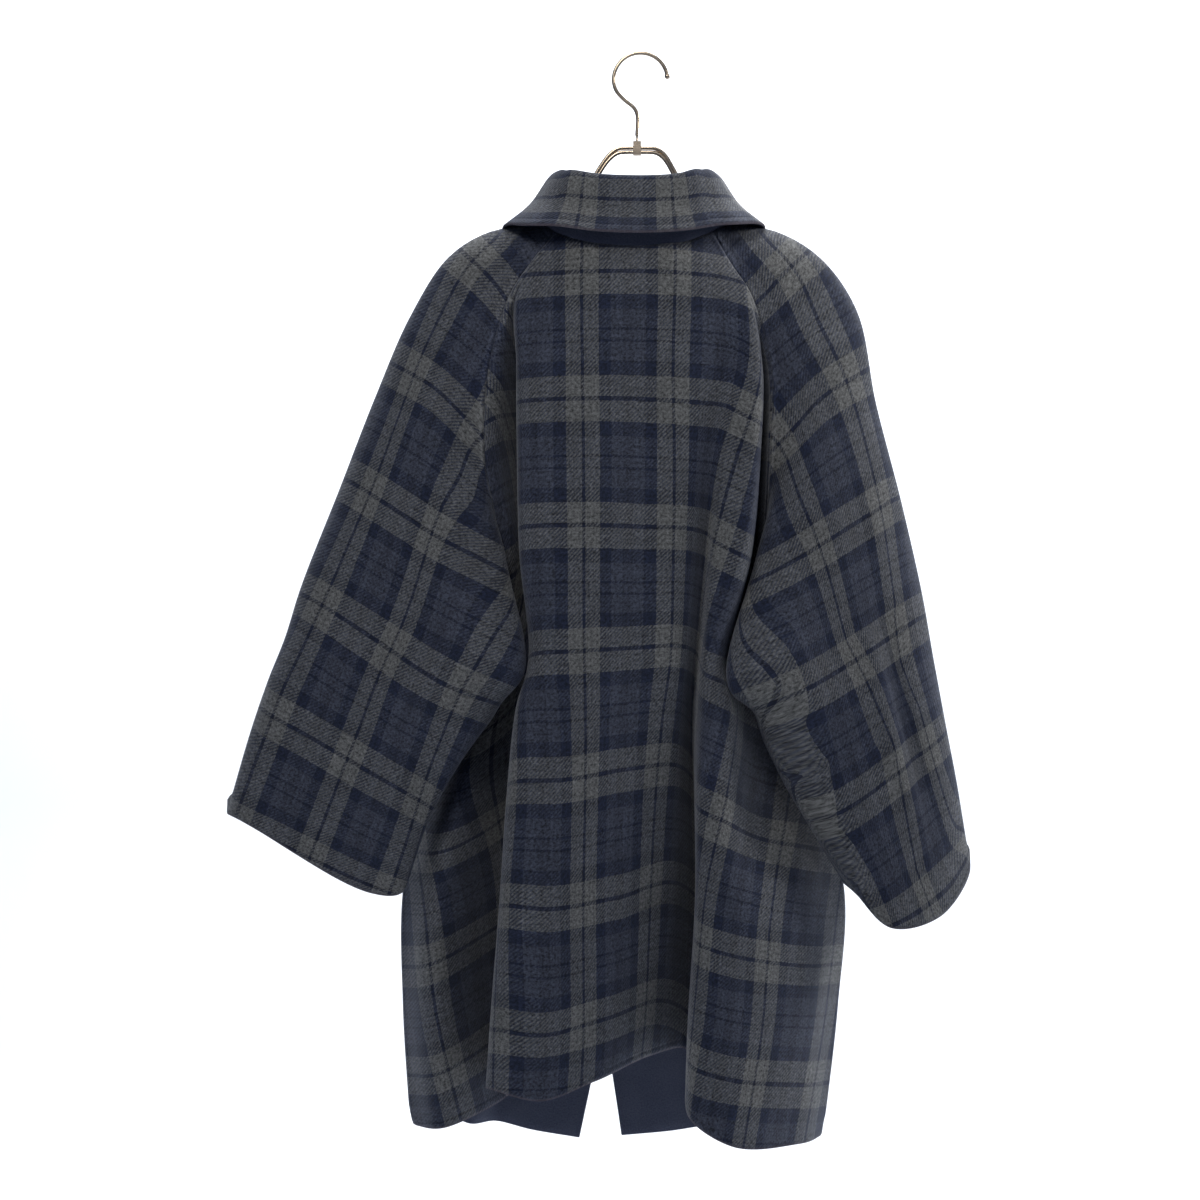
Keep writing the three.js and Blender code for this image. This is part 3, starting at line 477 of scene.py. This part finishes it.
BACK_CUT_DOWN = [
    # the same columns, down from the hook
    [199, 201, 202, 205, 213, 214, 210, 207, 204, 200, 198, 196],
    [224, 225, 225, 225, 226, 226, 224, 223, 222, 221, 220, 220],
    [254, 255, 255, 255, 258, 259, 257, 255, 252, 249, 248, 247],
    [312, 316, 320, 323, 326, 326, 324, 320, 314, 307, 303, 300],
    [378, 385, 394, 402, 404, 403, 400, 398, 392, 381, 375, 370],
    [455, 460, 480, 500, 502, 501, 500, 494, 485, 472, 465, 455],
    [530, 536, 567, 598, 603, 608, 611, 600, 584, 580, 567, 557],
    [563, 572, 610, 647, 652, 659, 662, 645, 629, 620, 608, 594],
    [644, 646, 686, 726, 730, 741, 746, 724, 704, 695, 676, 656],
    [750, 762, 796, 829, 828, 838, 849, 822, 794, 785, 765, 747],
    [871, 890, 920, 949, 946, 959, 968, 943, 919, 909, 894, 877],
    [1008, 1013, 1014, 1006, 1017, 1004, 998, 984, 997, 1011, 1006, 1000],
]
BACK_CREASES = [
    # u0, v0, u1, v1, width, depth
    (-20, 330, -34, 520, 16, -1.6), (18, 420, 8, 640, 20, 1.8), (70, 300, 62, 470, 15, -1.8),
    (40, 560, 30, 800, 22, -2.0), (-26, 620, -40, 860, 18, 1.6), (-6, 820, -16, 1010, 24, -2.2),
    (60, 700, 48, 900, 18, 1.8), (2, 210, 60, 232, 14, -1.2), (76, 196, 96, 262, 12, 1.4),
    (-44, 205, -52, 290, 12, 1.3),
    (318, 610, 326, 730, 42, -12),
]


def seam_point(table, row, at_front):
    x, y = table[row][10 if at_front else 3]
    return [x, y, table[row][2 if at_front else 0]]


def back_sections():
    """Control points of the back, seam to seam, each with its place on the flat cloth."""
    sections = []
    for i, folds in enumerate(BACK_INNER):
        left = seam_point(LEFT_SLEEVE, i, False) if i <= UNDERARM else LEFT_SIDE[i - UNDERARM - 1]
        right = seam_point(RIGHT_SLEEVE, i, False) if i <= UNDERARM else RIGHT_SIDE[i - UNDERARM - 1]
        heights = {0: BACK_NECK_Z, len(BACK_INNER) - 1: BACK_HEM_Z}.get(i)
        inner = []
        for k, (x, y) in enumerate(folds):
            share = (x - left[0]) / (right[0] - left[0])
            inner.append([x, y, heights[k] if heights else left[2] + (right[2] - left[2]) * share])
        cut = zip([left, *inner, right], BACK_CUT_ACROSS[i], BACK_CUT_DOWN[i])
        sections.append([[*place, across, down] for place, across, down in cut])
    return sections


def distance_to(grid, seams, edges):
    """Cloth distance to the nearest seam and to the nearest free edge, sides named by letter."""
    across, down = lengths(grid, 1), lengths(grid, 0)
    away = {"l": across, "r": across[:, -1:] - across, "t": down, "b": down[-1:] - down}
    nearest = [np.min([away[s] for s in sides], 0) if sides else np.full(grid.shape[:2], 999.0)
               for sides in (seams, edges)]
    return np.stack(nearest, -1)


FINER = 5
grid, flat = np.split(smooth_surface(back_sections(), BODY_STEPS, BACK_ACROSS_STEPS, FINER), [3], -1)
tops = {"back": grid[0]}
grid = creased(grid, flat, 1, BACK_CREASES)
round_corner(grid, 0)
round_corner(grid, -1)
back = lay_cloth("back_cloth", grid, flat, distance_to(grid, "lrt", "b"), 1, FLANNEL)
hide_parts("back")


# Sleeves: one piece each, raglan shoulder to cuff, closed by one underarm seam. They hang from
# the hanger's ends, flattened front to back, with one soft lengthwise fold behind.
RING_STEPS = [3, 3, 4, 4, 3, 2, 3]
LEFT_CUFF_DIP = [32, 37, 0]
RIGHT_CUFF_DIP = [8, 42, 40]
DIP_FADE = [0.1, 0.25, 0.5, 1]
FRONT_RISE = 0.35
SLEEVE_STEPS = [*ARMHOLE_STEPS, 2, 2, 2, 2]


# Where each line of a sleeve's back half lies on the flat cloth: across from the stripe that runs
# down the middle, then down from the shoulder; the front half mirrors it about the outer edge.
LEFT_SLEEVE_CUT = [
    # seamAcross, rollAcross, backAcross, outerAcross, edgeAcross, seamDown, roll, back, outer, edge
    [-45, -50, -55, -59, -60, 164, 165, 166, 167, 168],
    [-44, -55, -71, -92, -99, 198, 200, 202, 206, 208],
    [-39, -53, -74, -107, -115, 234, 239, 244, 248, 250],
    [-19, -37, -67, -113, -124, 305, 307, 309, 309, 310],
    [8, -8, -46, -118, -134, 367, 376, 389, 393, 394],
    [92, 60, 13, -109, -130, 463, 462, 470, 488, 489],
    [240, 138, 62, -102, -123, 554, 557, 562, 588, 588],
    [178, 134, 68, -97, -117, 595, 599, 604, 640, 641],
    [156, 120, 57, -91, -111, 652, 663, 675, 686, 687],
    [138, 105, 59, -88, -107, 709, 732, 742, 739, 741],
    [136, 103, 72, -84, -103, 783, 829, 842, 828, 830],
]
RIGHT_SLEEVE_CUT = [
    [54, 60, 64, 68, 69, 161, 162, 164, 165, 167],
    [51, 62, 76, 94, 99, 192, 194, 197, 201, 203],
    [47, 63, 80, 109, 116, 230, 234, 241, 248, 250],
    [30, 50, 78, 116, 126, 302, 304, 306, 306, 307],
    [-10, 13, 50, 104, 118, 355, 365, 380, 387, 388],
    [-88, -58, -2, 105, 123, 455, 455, 465, 480, 480],
    [-239, -117, -66, 114, 138, 557, 564, 563, 577, 576],
    [-145, -104, -71, 116, 138, 601, 604, 610, 635, 634],
    [-134, -97, -74, 106, 130, 660, 666, 676, 712, 708],
    [-128, -93, -77, 86, 116, 724, 732, 751, 786, 772],
    [-128, -96, -77, 12, 80, 782, 796, 835, 847, 843],
]


def sleeve_sections(table, cut, cuff_dip):
    """Rings of a sleeve from its back seam round the outer edge to its front seam."""
    first = len(table) - len(DIP_FADE)
    rings = []
    for i, row in enumerate(table):
        z_back, z_edge, z_front, back_seam, roll, back_at, outer, edge, front_outer, front_y, front_seam = row
        fade = DIP_FADE[i - first] if i >= first else 0

        def behind(place, dip):
            share = (place[0] - back_seam[0]) / (edge[0] - back_seam[0])
            return [*place, z_back + (z_edge - z_back) * share - dip * fade]

        def ahead(x, y, dip):
            share = (x - front_seam[0]) / (edge[0] - front_seam[0])
            return [x, y, z_front + (z_edge - z_front) * share + dip * FRONT_RISE * fade]

        ring = [
            [*back_seam, z_back], behind(roll, cuff_dip[0]), behind(back_at, cuff_dip[1]),
            behind(outer, cuff_dip[2]), [*edge, z_edge], ahead(outer[0], front_outer, cuff_dip[2]),
            ahead(back_at[0], front_y, cuff_dip[1]), [*front_seam, z_front],
        ]
        across, down = cut[i][:5], cut[i][5:]
        for k, twin in ((5, 3), (6, 2), (7, 0)):
            across.append(2 * cut[i][4] - cut[i][twin])
            down.append(cut[i][5 + twin] + ring[twin][2] - ring[k][2])
        rings.append([[*place, u, v] for place, u, v in zip(ring, across, down)])
    return rings


SLEEVES = [
    # name, table, cut, cuff dips, wall's side, creases (u0, v0, u1, v1, width, depth),
    # cloth taken up in folds (u0, v0, u1, v1, width, shift)
    ("sleeve_left", LEFT_SLEEVE, LEFT_SLEEVE_CUT, LEFT_CUFF_DIP, -1, [
        (-8, 430, -2, 650, 19, -6.0), (-60, 600, -54, 800, 30, -6.0), (44, 440, 40, 800, 34, 6.0),
        (-88, 560, -84, 800, 20, 3.0), (60, 520, 88, 620, 18, 3.0),
        (-70, 330, -60, 480, 22, 1.6), (96, 640, 92, 740, 14, -2.5), (-60, 620, -52, 800, 24, 1.8),
    ], []),
    ("sleeve_right", RIGHT_SLEEVE, RIGHT_SLEEVE_CUT, RIGHT_CUFF_DIP, 1, [
        (36, 600, 28, 770, 13, 3.5), (64, 590, 60, 750, 17, -5.5), (70, 430, 84, 560, 13, 3.0),
        (-10, 420, -24, 560, 20, -2.5),
        (-70, 540, -84, 640, 18, 3.0), (88, 330, 92, 470, 18, 2.0), (-30, 640, -40, 800, 24, 2.0),
    ], [
        (32, 620, 26, 760, 42, -30), (80, 590, 84, 650, 18, 14),
        (-133, 610, -118, 660, 40, 34), (-112, 690, -110, 760, 35, 20),
    ]),
]
for name, table, cut, dips, side, creases, taken in SLEEVES:
    rings = sleeve_sections(table, cut, dips)
    grid, flat = np.split(smooth_surface(rings, SLEEVE_STEPS, RING_STEPS, FINER), [3], -1)
    tops[name] = grid[0]
    grid = creased(grid, flat, side, creases)
    round_corner(grid, sum(RING_STEPS[:4]) * FINER)
    flat[..., 0] += soft_lines(flat, taken)
    sleeve = lay_cloth(name + "_cloth", grid, flat, distance_to(grid, "lrt", "b"), side, FLANNEL)
    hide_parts(name)


# Fronts: the right one laps over the left and is fastened by its buttons; both hang nearly flat,
# with two soft folds on each side. Their free edges are turned in and slip-stitched.
FRONT_FOLDS = [
    # zAtEdge, leftEdgeX, rightEdgeX, edge, near, crest, valley, side
    [-262, 15, -25, 72, 71, 66, 59, 48],
    [-288, 15, -27, 79, 79, 75, 69, 60],
    [-315, 14, -29, 84, 85, 82, 77, 70],
    [-365, 13, -31, 90, 92, 92, 85, 79],
    [-425, 12, -33, 94, 97, 100, 89, 85],
    [-510, 11, -35, 97, 101, 106, 90, 80],
    [-600, 10, -36, 99, 103, 109, 90, 74],
    [-655, 8, -38, 100, 105, 111, 90, 80],
    [-735, 4, -41, 102, 107, 114, 89, 92],
    [-840, -8, -46, 104, 109, 117, 87, 99],
    [-965, -32, -38, 103, 108, 119, 85, 101],
    [-1106, -62, -18, 96, 104, 118, 83, 98],
]
LEFT_FOLD_PLACES = [0, 0.3, 0.52, 0.68, 0.85]
RIGHT_FOLD_PLACES = [0, 0.25, 0.48, 0.66, 0.84]
LEVEL = [0, 0, 0, 0, 0]
FRONT_HEM_DROPS = [0, 4, 6, 6, 3]
RIGHT_FOLD_LIFTS = [10, 10, 5, 0, 0]
FRONT_ACROSS_STEPS = [3, 4, 4, 3, 3]


def front_sections(table, side_seam, edge_column, places, lifts):
    """Control points of a front, a row for each line from its free edge to its seam."""
    sections = []
    for i, row in enumerate(FRONT_FOLDS):
        z_edge, edge_x = row[0], row[edge_column]
        seam = seam_point(table, i, True) if i <= UNDERARM else side_seam[i - UNDERARM - 1]
        drops = FRONT_HEM_DROPS if i == len(FRONT_FOLDS) - 1 else LEVEL
        folds = [[edge_x + (seam[0] - edge_x) * p, y + lift, z_edge + (seam[2] - z_edge) * p - drop]
                 for p, y, lift, drop in zip(places, row[3:], lifts, drops)]
        sections.append([*folds, seam])
    return sections


WEFT_START = 9.0


def front_flat(grid, side):
    """Flat sizes of a front: across from its middle stripe, and down from the hook."""
    across, down = lengths(grid, 1), lengths(grid, 0)
    fall = down - grid[0, :, 2]
    return np.stack([across * side + 45, fall - (fall[:, 0] + grid[:, 0, 2])[:, None] + WEFT_START], -1)


FRONTS = [
    # name, sleeve table, side seam, edge column, fold places, lifts, wall's side, creases
    ("front_left", LEFT_SLEEVE, LEFT_SIDE, 1, LEFT_FOLD_PLACES, LEVEL, 1, [
        (100, 330, 120, 560, 18, 2.0), (150, 500, 170, 760, 22, -2.4), (90, 700, 80, 960, 20, 2.2),
    ]),
    ("front_right", RIGHT_SLEEVE, RIGHT_SIDE, 2, RIGHT_FOLD_PLACES, RIGHT_FOLD_LIFTS, -1, [
        (-30, 340, -60, 560, 18, 2.0), (-100, 480, -110, 740, 22, -2.2), (-40, 720, -50, 980, 20, 2.0),
    ]),
]
for name, table, side_seam, edge_column, places, lifts, side, creases in FRONTS:
    sections = front_sections(table, side_seam, edge_column, places, lifts)
    grid = smooth_surface(sections, BODY_STEPS, FRONT_ACROSS_STEPS, FINER)
    flat = front_flat(grid, side)
    tops[name] = grid[0]
    grid = creased(grid, flat, side, creases)
    round_corner(grid, -1)
    front = lay_cloth(name + "_cloth", grid, flat, distance_to(grid, "rt", "lb"), side, FLANNEL)
    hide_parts(name)


# Collar: stand and fall in one piece of the same cloth. The stand shows the dark reverse outside,
# and the fall turns over it, plaid side out, down to rounded points in front.
COLLAR = [
    # along, foldOut, foldUp, edgeOut, edgeUp, edgeShift
    [0, 8, 22, 25, -56, 26],
    [0.1, 7, 36, 37, -30, 14],
    [0.19, -6, 46, 45, -9, 2],
    [0.27, -13, 50, 41, -2, 0],
    [0.35, -15, 62, 33, 4, 0],
    [0.42, -15, 69, 22, 9, 0],
    [0.5, -15, 70, 20, 10, 0],
    [0.58, -15, 69, 22, 9, 0],
    [0.65, -15, 62, 33, 4, 0],
    [0.73, -13, 50, 39, -2, 0],
    [0.81, -6, 46, 38, -13, -4],
    [0.9, 7, 36, 30, -32, -16],
    [1, 8, 22, 25, -56, -26],
]
COLLAR_SMOOTHING = 9  # places along the neck that are averaged, so that the collar turns softly
COLLAR_READ = 400
STAND_SHARE = 0.6
FALL_MIDDLE = 0.58
FALL_REACH = 0.42
FOLD_ROLL = 8
FOLD_DROP = 3
COLLAR_ENDS = (-9, -2)
COLLAR_ACROSS = 150
COLLAR_STRIPE_X = -59  # the light stripe runs on from the back's
COLLAR_LINE_UP = 40
COLLAR_FRONT = 20  # columns at each end that lie in front, where x no longer grows along the collar


def neck_line(panels):
    """The neck seam from the left front end round the back to the right front end."""
    left, sleeve_left, middle, sleeve_right, right = panels
    start = [p for p in left if p[0] < COLLAR_ENDS[0]]
    end = [p for p in right[::-1][1:] if p[0] > COLLAR_ENDS[1]]
    return np.array([*start, *sleeve_left[::-1][1:], *middle[1:], *sleeve_right[1:], *end])


def collar_grid(neck):
    run = np.concatenate([[0], np.cumsum(np.linalg.norm(np.diff(neck, axis=0), axis=1))])
    shares = np.linspace(0, 1, COLLAR_ACROSS)
    line = np.stack([np.interp(shares * run[-1], run, neck[:, k]) for k in range(3)], -1)
    kernel = np.hanning(COLLAR_SMOOTHING)
    beyond = COLLAR_SMOOTHING // 2
    padded = np.pad(line, ((beyond, beyond), (0, 0)), mode="reflect", reflect_type="odd")
    line = np.stack([np.convolve(padded[:, k], kernel / kernel.sum(), "valid") for k in range(3)], -1)
    tangent = np.gradient(line, axis=0)
    tangent[:, 2] = 0
    tangent /= np.linalg.norm(tangent, axis=1, keepdims=True)
    outward = np.stack([tangent[:, 1], -tangent[:, 0], np.zeros(len(line))], -1)
    fine = smooth_line(np.array(COLLAR)[:, None, :], np.linspace(0, len(COLLAR) - 1, COLLAR_READ))[:, 0]
    table = np.stack([np.interp(shares, fine[:, 0], fine[:, k]) for k in range(6)], -1)
    _, fold_out, fold_up, edge_out, edge_up, shift = table.T

    def at(out, up, along):
        return line + outward * out[:, None] + tangent * along[:, None] + np.stack([0 * up, 0 * up, up], -1)

    none = np.zeros(len(line))
    profile = [
        line,
        at(fold_out * STAND_SHARE, fold_up * STAND_SHARE, none),
        at(fold_out, fold_up - FOLD_DROP, none),
        at(fold_out + FOLD_ROLL / 2, fold_up, none),
        at(fold_out + FOLD_ROLL, fold_up - FOLD_DROP, none),
        at(fold_out + FOLD_ROLL + (edge_out - fold_out - FOLD_ROLL) * FALL_REACH,
           fold_up + (edge_up - fold_up) * FALL_MIDDLE, shift / 2),
        at(edge_out, edge_up, shift),
    ]
    return smooth_line(np.array(profile), stations([2, 1, 1, 1, 2, 2], 6))


neck = neck_line([tops[key] for key in ("front_left", "sleeve_left", "back", "sleeve_right", "front_right")])
grid = collar_grid(neck)
around, up = lengths(grid, 1), lengths(grid, 0)
middle_row = len(grid) * 3 // 4
behind = slice(COLLAR_FRONT, -COLLAR_FRONT)
zero = np.interp(COLLAR_STRIPE_X, grid[middle_row, behind, 0], around[middle_row, behind])
from_stripe = np.repeat(around[middle_row:middle_row + 1] - zero, len(grid), 0)
flat = np.stack([from_stripe, up - up[-1:] + COLLAR_LINE_UP], -1)
collar = lay_cloth("collar_cloth", grid, flat, distance_to(grid, "t", "lrb"), 1, FLANNEL)
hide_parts("collar")


# Hanger: a plated steel wire 4 mm thick, bent double to a closed frame, and a hook of the same wire
# with a ball end, its pin turning in the ferrule that clamps both runs.
def plated_wire(name, tint):
    material = new_material(name)
    tree = material.node_tree
    place = add(tree, "ShaderNodeTexCoord", {}, {}, "Object")
    drawn = noise(tree, place, 900.0, 3.0)
    cloudy = noise(tree, place, 60.0, 3.0)
    dark = (*(c * 0.8 for c in tint), 1)
    colour = add(tree, "ShaderNodeMix", {"data_type": "RGBA"}, {"Factor": cloudy, 6: dark, 7: (*tint, 1)}, 2)
    bump = add(tree, "ShaderNodeBump", {}, {"Strength": 0.25, "Distance": 0.0002, "Height": drawn})
    return surface_of(material, colour, 0.16 + cloudy * 0.2, bump, Metallic=1.0)


wire_finish = plated_wire("plated_wire", shown(186, 170, 150))
WIRE = 4
STEM_X = -3.5
ARCH = [[10, 0], [19, 0.8], [27, 6]]
ARCH_TOP_Z = -93
WIRE_PITCH = 4.3
LOWER_RUN_SHARE = 0.985
TIP_BEND = [[6, 9], [3.4, 13]]
END_GAP = 0.4
LEFT_ARM = [
    [-43, -116], [-58, -144.4], [-76, -165.4], [-98, -176.4],
    [-125, -180.4], [-150, -185.4], [-173, -199.4],
]
RIGHT_ARM = [
    [34, -116], [50, -144.7], [66, -164.7], [87, -176.7],
    [112, -180.7], [135, -185.7], [158, -200.7],
]
LEFT_TIP = [-189, -212.4]
RIGHT_TIP = [175, -214.7]
HOOK_RADIUS = 27
HOOK_PATH = [
    [26.3, -21.4], [-26.8, -26], [-24.1, -36], [-16.5, -44.6],
    [-6.5, -53], [-3.2, -60], [-3.5, -81],
]
BALL_RADIUS = 2.9
PIN_RADIUS = 1.1
PIN_DEPTH = 3.2
FERRULE_TOP = -86.7


def bent_wire(name, path, steps):
    """Round wire along points[x, z] in the hanger's plane, as a bmesh."""
    line = smooth_line(np.array([[[x, 0, z]] for x, z in path]), np.linspace(0, len(path) - 1, steps))[:, 0]
    curve = bpy.data.curves.new(name, "CURVE")
    curve.dimensions = "3D"
    curve.bevel_depth = WIRE / 2 * MM
    curve.bevel_resolution = 5
    curve.use_fill_caps = True
    spline = curve.splines.new("POLY")
    spline.points.add(len(line) - 1)
    for point, place in zip(spline.points, line):
        point.co = (*place * MM, 1)
    holder = bpy.data.objects.new(name, curve)
    bm = bmesh.new()
    bm.from_mesh(bpy.data.meshes.new_from_object(holder))
    bpy.data.objects.remove(holder)
    return bm


def finish_wire(bm, node):
    """The wire as the piece that stands for its node."""
    bmesh.ops.recalc_face_normals(bm, faces=bm.faces)
    for face in bm.faces:
        face.smooth = True
    mesh = bpy.data.meshes.new(node + "_wire")
    bm.to_mesh(mesh)
    bm.free()
    mesh.materials.append(wire_finish)
    piece = bpy.data.objects.new(node + "_wire", mesh)
    bpy.context.scene.collection.objects.link(piece)
    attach(piece, "root")
    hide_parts(node)


def frame_path():
    """Middle line of the frame wire: out along each arm, round its tip and back beneath."""
    def run(arm, tip, sign):
        return [*([STEM_X + sign * x, ARCH_TOP_Z - drop] for x, drop in ARCH), *arm, tip]

    def lower(points):
        return [[x * LOWER_RUN_SHARE, z - WIRE_PITCH] for x, z in points]

    left, right = run(LEFT_ARM, LEFT_TIP, -1), run(RIGHT_ARM, RIGHT_TIP, 1)
    left_bend, right_bend = ([[tip[0] + sign * out, tip[1] - drop] for out, drop in TIP_BEND]
                             for tip, sign in ((LEFT_TIP, -1), (RIGHT_TIP, 1)))
    end_z = ARCH_TOP_Z - WIRE_PITCH
    return [
        [STEM_X - END_GAP, end_z], *lower(left[:-1]), *left_bend[::-1], *left[::-1], [STEM_X, ARCH_TOP_Z],
        *right, *right_bend, *lower(right[:-1])[::-1], [STEM_X + END_GAP, end_z],
    ]


finish_wire(bent_wire("frame_line", frame_path(), 300), "hanger_frame")

centre_z = WIRE / 2 - HOOK_RADIUS
(ball_x, ball_z), (bend_x, bend_z), *stem = HOOK_PATH
first = math.atan2(ball_z - centre_z, ball_x)
last = math.pi - math.atan2(bend_z - centre_z, -bend_x)
turns = np.linspace(first, last, 13)
bow = [[HOOK_RADIUS * math.cos(a), centre_z + HOOK_RADIUS * math.sin(a)] for a in turns]
hook = bent_wire("hook_line", [*bow, *stem], 120)
ball = Matrix.Translation(Vector((bow[0][0], 0, bow[0][1])) * MM)
bmesh.ops.create_uvsphere(hook, u_segments=24, v_segments=16, radius=BALL_RADIUS * MM, matrix=ball)
pin_top, pin_bottom = stem[-1][1] + 1, FERRULE_TOP - PIN_DEPTH
pin = Matrix.Translation(Vector((STEM_X, 0, (pin_top + pin_bottom) / 2)) * MM)
bmesh.ops.create_cone(hook, cap_ends=True, segments=20, radius1=PIN_RADIUS * MM, radius2=PIN_RADIUS * MM,
                      depth=(pin_top - pin_bottom) * MM, matrix=pin)
finish_wire(hook, "hanger_hook")
bpy.data.objects["hanger_ferrule"].data.materials.clear()
bpy.data.objects["hanger_ferrule"].data.materials.append(wire_finish)


# Buttons: four dark resin buttons on the right front.
def button_resin(name):
    material = new_material(name)
    tree = material.node_tree
    place = add(tree, "ShaderNodeTexCoord", {}, {}, "Object")
    marble = noise(tree, place, 130.0, 5.0, Distortion=1.5)
    stops = [(0.35, shown(22, 24, 32)), (0.7, shown(52, 55, 66))]
    colour = add(tree, "ShaderNodeValToRGB", {"stops": stops}, {"Fac": marble})
    bump = add(tree, "ShaderNodeBump", {}, {"Strength": 0.1, "Distance": 0.0002, "Height": marble})
    return surface_of(material, colour, 0.28 + marble * 0.15, bump, Specular_IOR_Level=0.5)


resin = button_resin("button_resin")
for k in range(1, 5):
    bpy.data.objects[f"button_{k}"].data.materials.clear()
    bpy.data.objects[f"button_{k}"].data.materials.append(resin)


# Studio: a pale floor that curves up behind, and soft lights.
def studio():
    bm = bmesh.new()
    profile = [(-4.0, -1.9), (1.6, -1.9), (2.2, -1.82), (2.6, -1.55), (2.8, -1.0), (2.85, 3.0)]
    points = [bm.verts.new((-5, y, z)) for y, z in profile]
    edges = [bm.edges.new(pair) for pair in zip(points, points[1:])]
    swept = bmesh.ops.extrude_edge_only(bm, edges=edges)["geom"]
    bmesh.ops.translate(bm, vec=(10, 0, 0), verts=[g for g in swept if isinstance(g, bmesh.types.BMVert)])
    bmesh.ops.recalc_face_normals(bm, faces=bm.faces)
    for face in bm.faces:
        face.smooth = True
    mesh = bpy.data.meshes.new("floor")
    bm.to_mesh(mesh)
    bm.free()
    floor = bpy.data.objects.new("floor", mesh)
    bpy.context.scene.collection.objects.link(floor)
    material = new_material("pale_floor")
    tree = material.node_tree
    paint = {"Base Color": (0.84, 0.87, 0.92, 1), "Roughness": 0.9}
    shader = add(tree, "ShaderNodeBsdfPrincipled", {}, paint)
    tree.links.new(shader.socket, tree.nodes.new("ShaderNodeOutputMaterial").inputs["Surface"])
    mesh.materials.append(material)


studio()


def soft_light(name, place, target, size, power, colour):
    """A round soft box that faces its target."""
    data = bpy.data.lights.new(name, "AREA")
    data.shape = "DISK"
    data.size = size
    data.energy = power
    data.color = colour
    light = bpy.data.objects.new(name, data)
    light.location = place
    light.rotation_euler = (Vector(target) - Vector(place)).to_track_quat("-Z", "Y").to_euler()
    bpy.context.scene.collection.objects.link(light)


soft_light("key", (-0.35, -1.8, 1.05), (0, 0, -0.5), 0.9, 29, (1, 0.97, 0.92))
soft_light("fill_right", (2.3, 0.0, 0.55), (0.2, 0, -0.5), 0.8, 48, (1, 0.98, 0.95))
soft_light("front_of_coat", (0.4, 2.0, 1.3), (0, 0, -0.5), 1.4, 20, (1, 1, 1))
soft_light("backdrop", (0, 1.1, 1.9), (0, 2.8, -0.6), 1.8, 130, (1, 1, 1))
world = bpy.data.worlds.new("studio")
world.use_nodes = True
world.node_tree.nodes["Background"].inputs["Color"].default_value = (0.62, 0.76, 1.1, 1)
world.node_tree.nodes["Background"].inputs["Strength"].default_value = 0.17
bpy.context.scene.world = world
bpy.context.scene.view_settings.view_transform = "Standard"
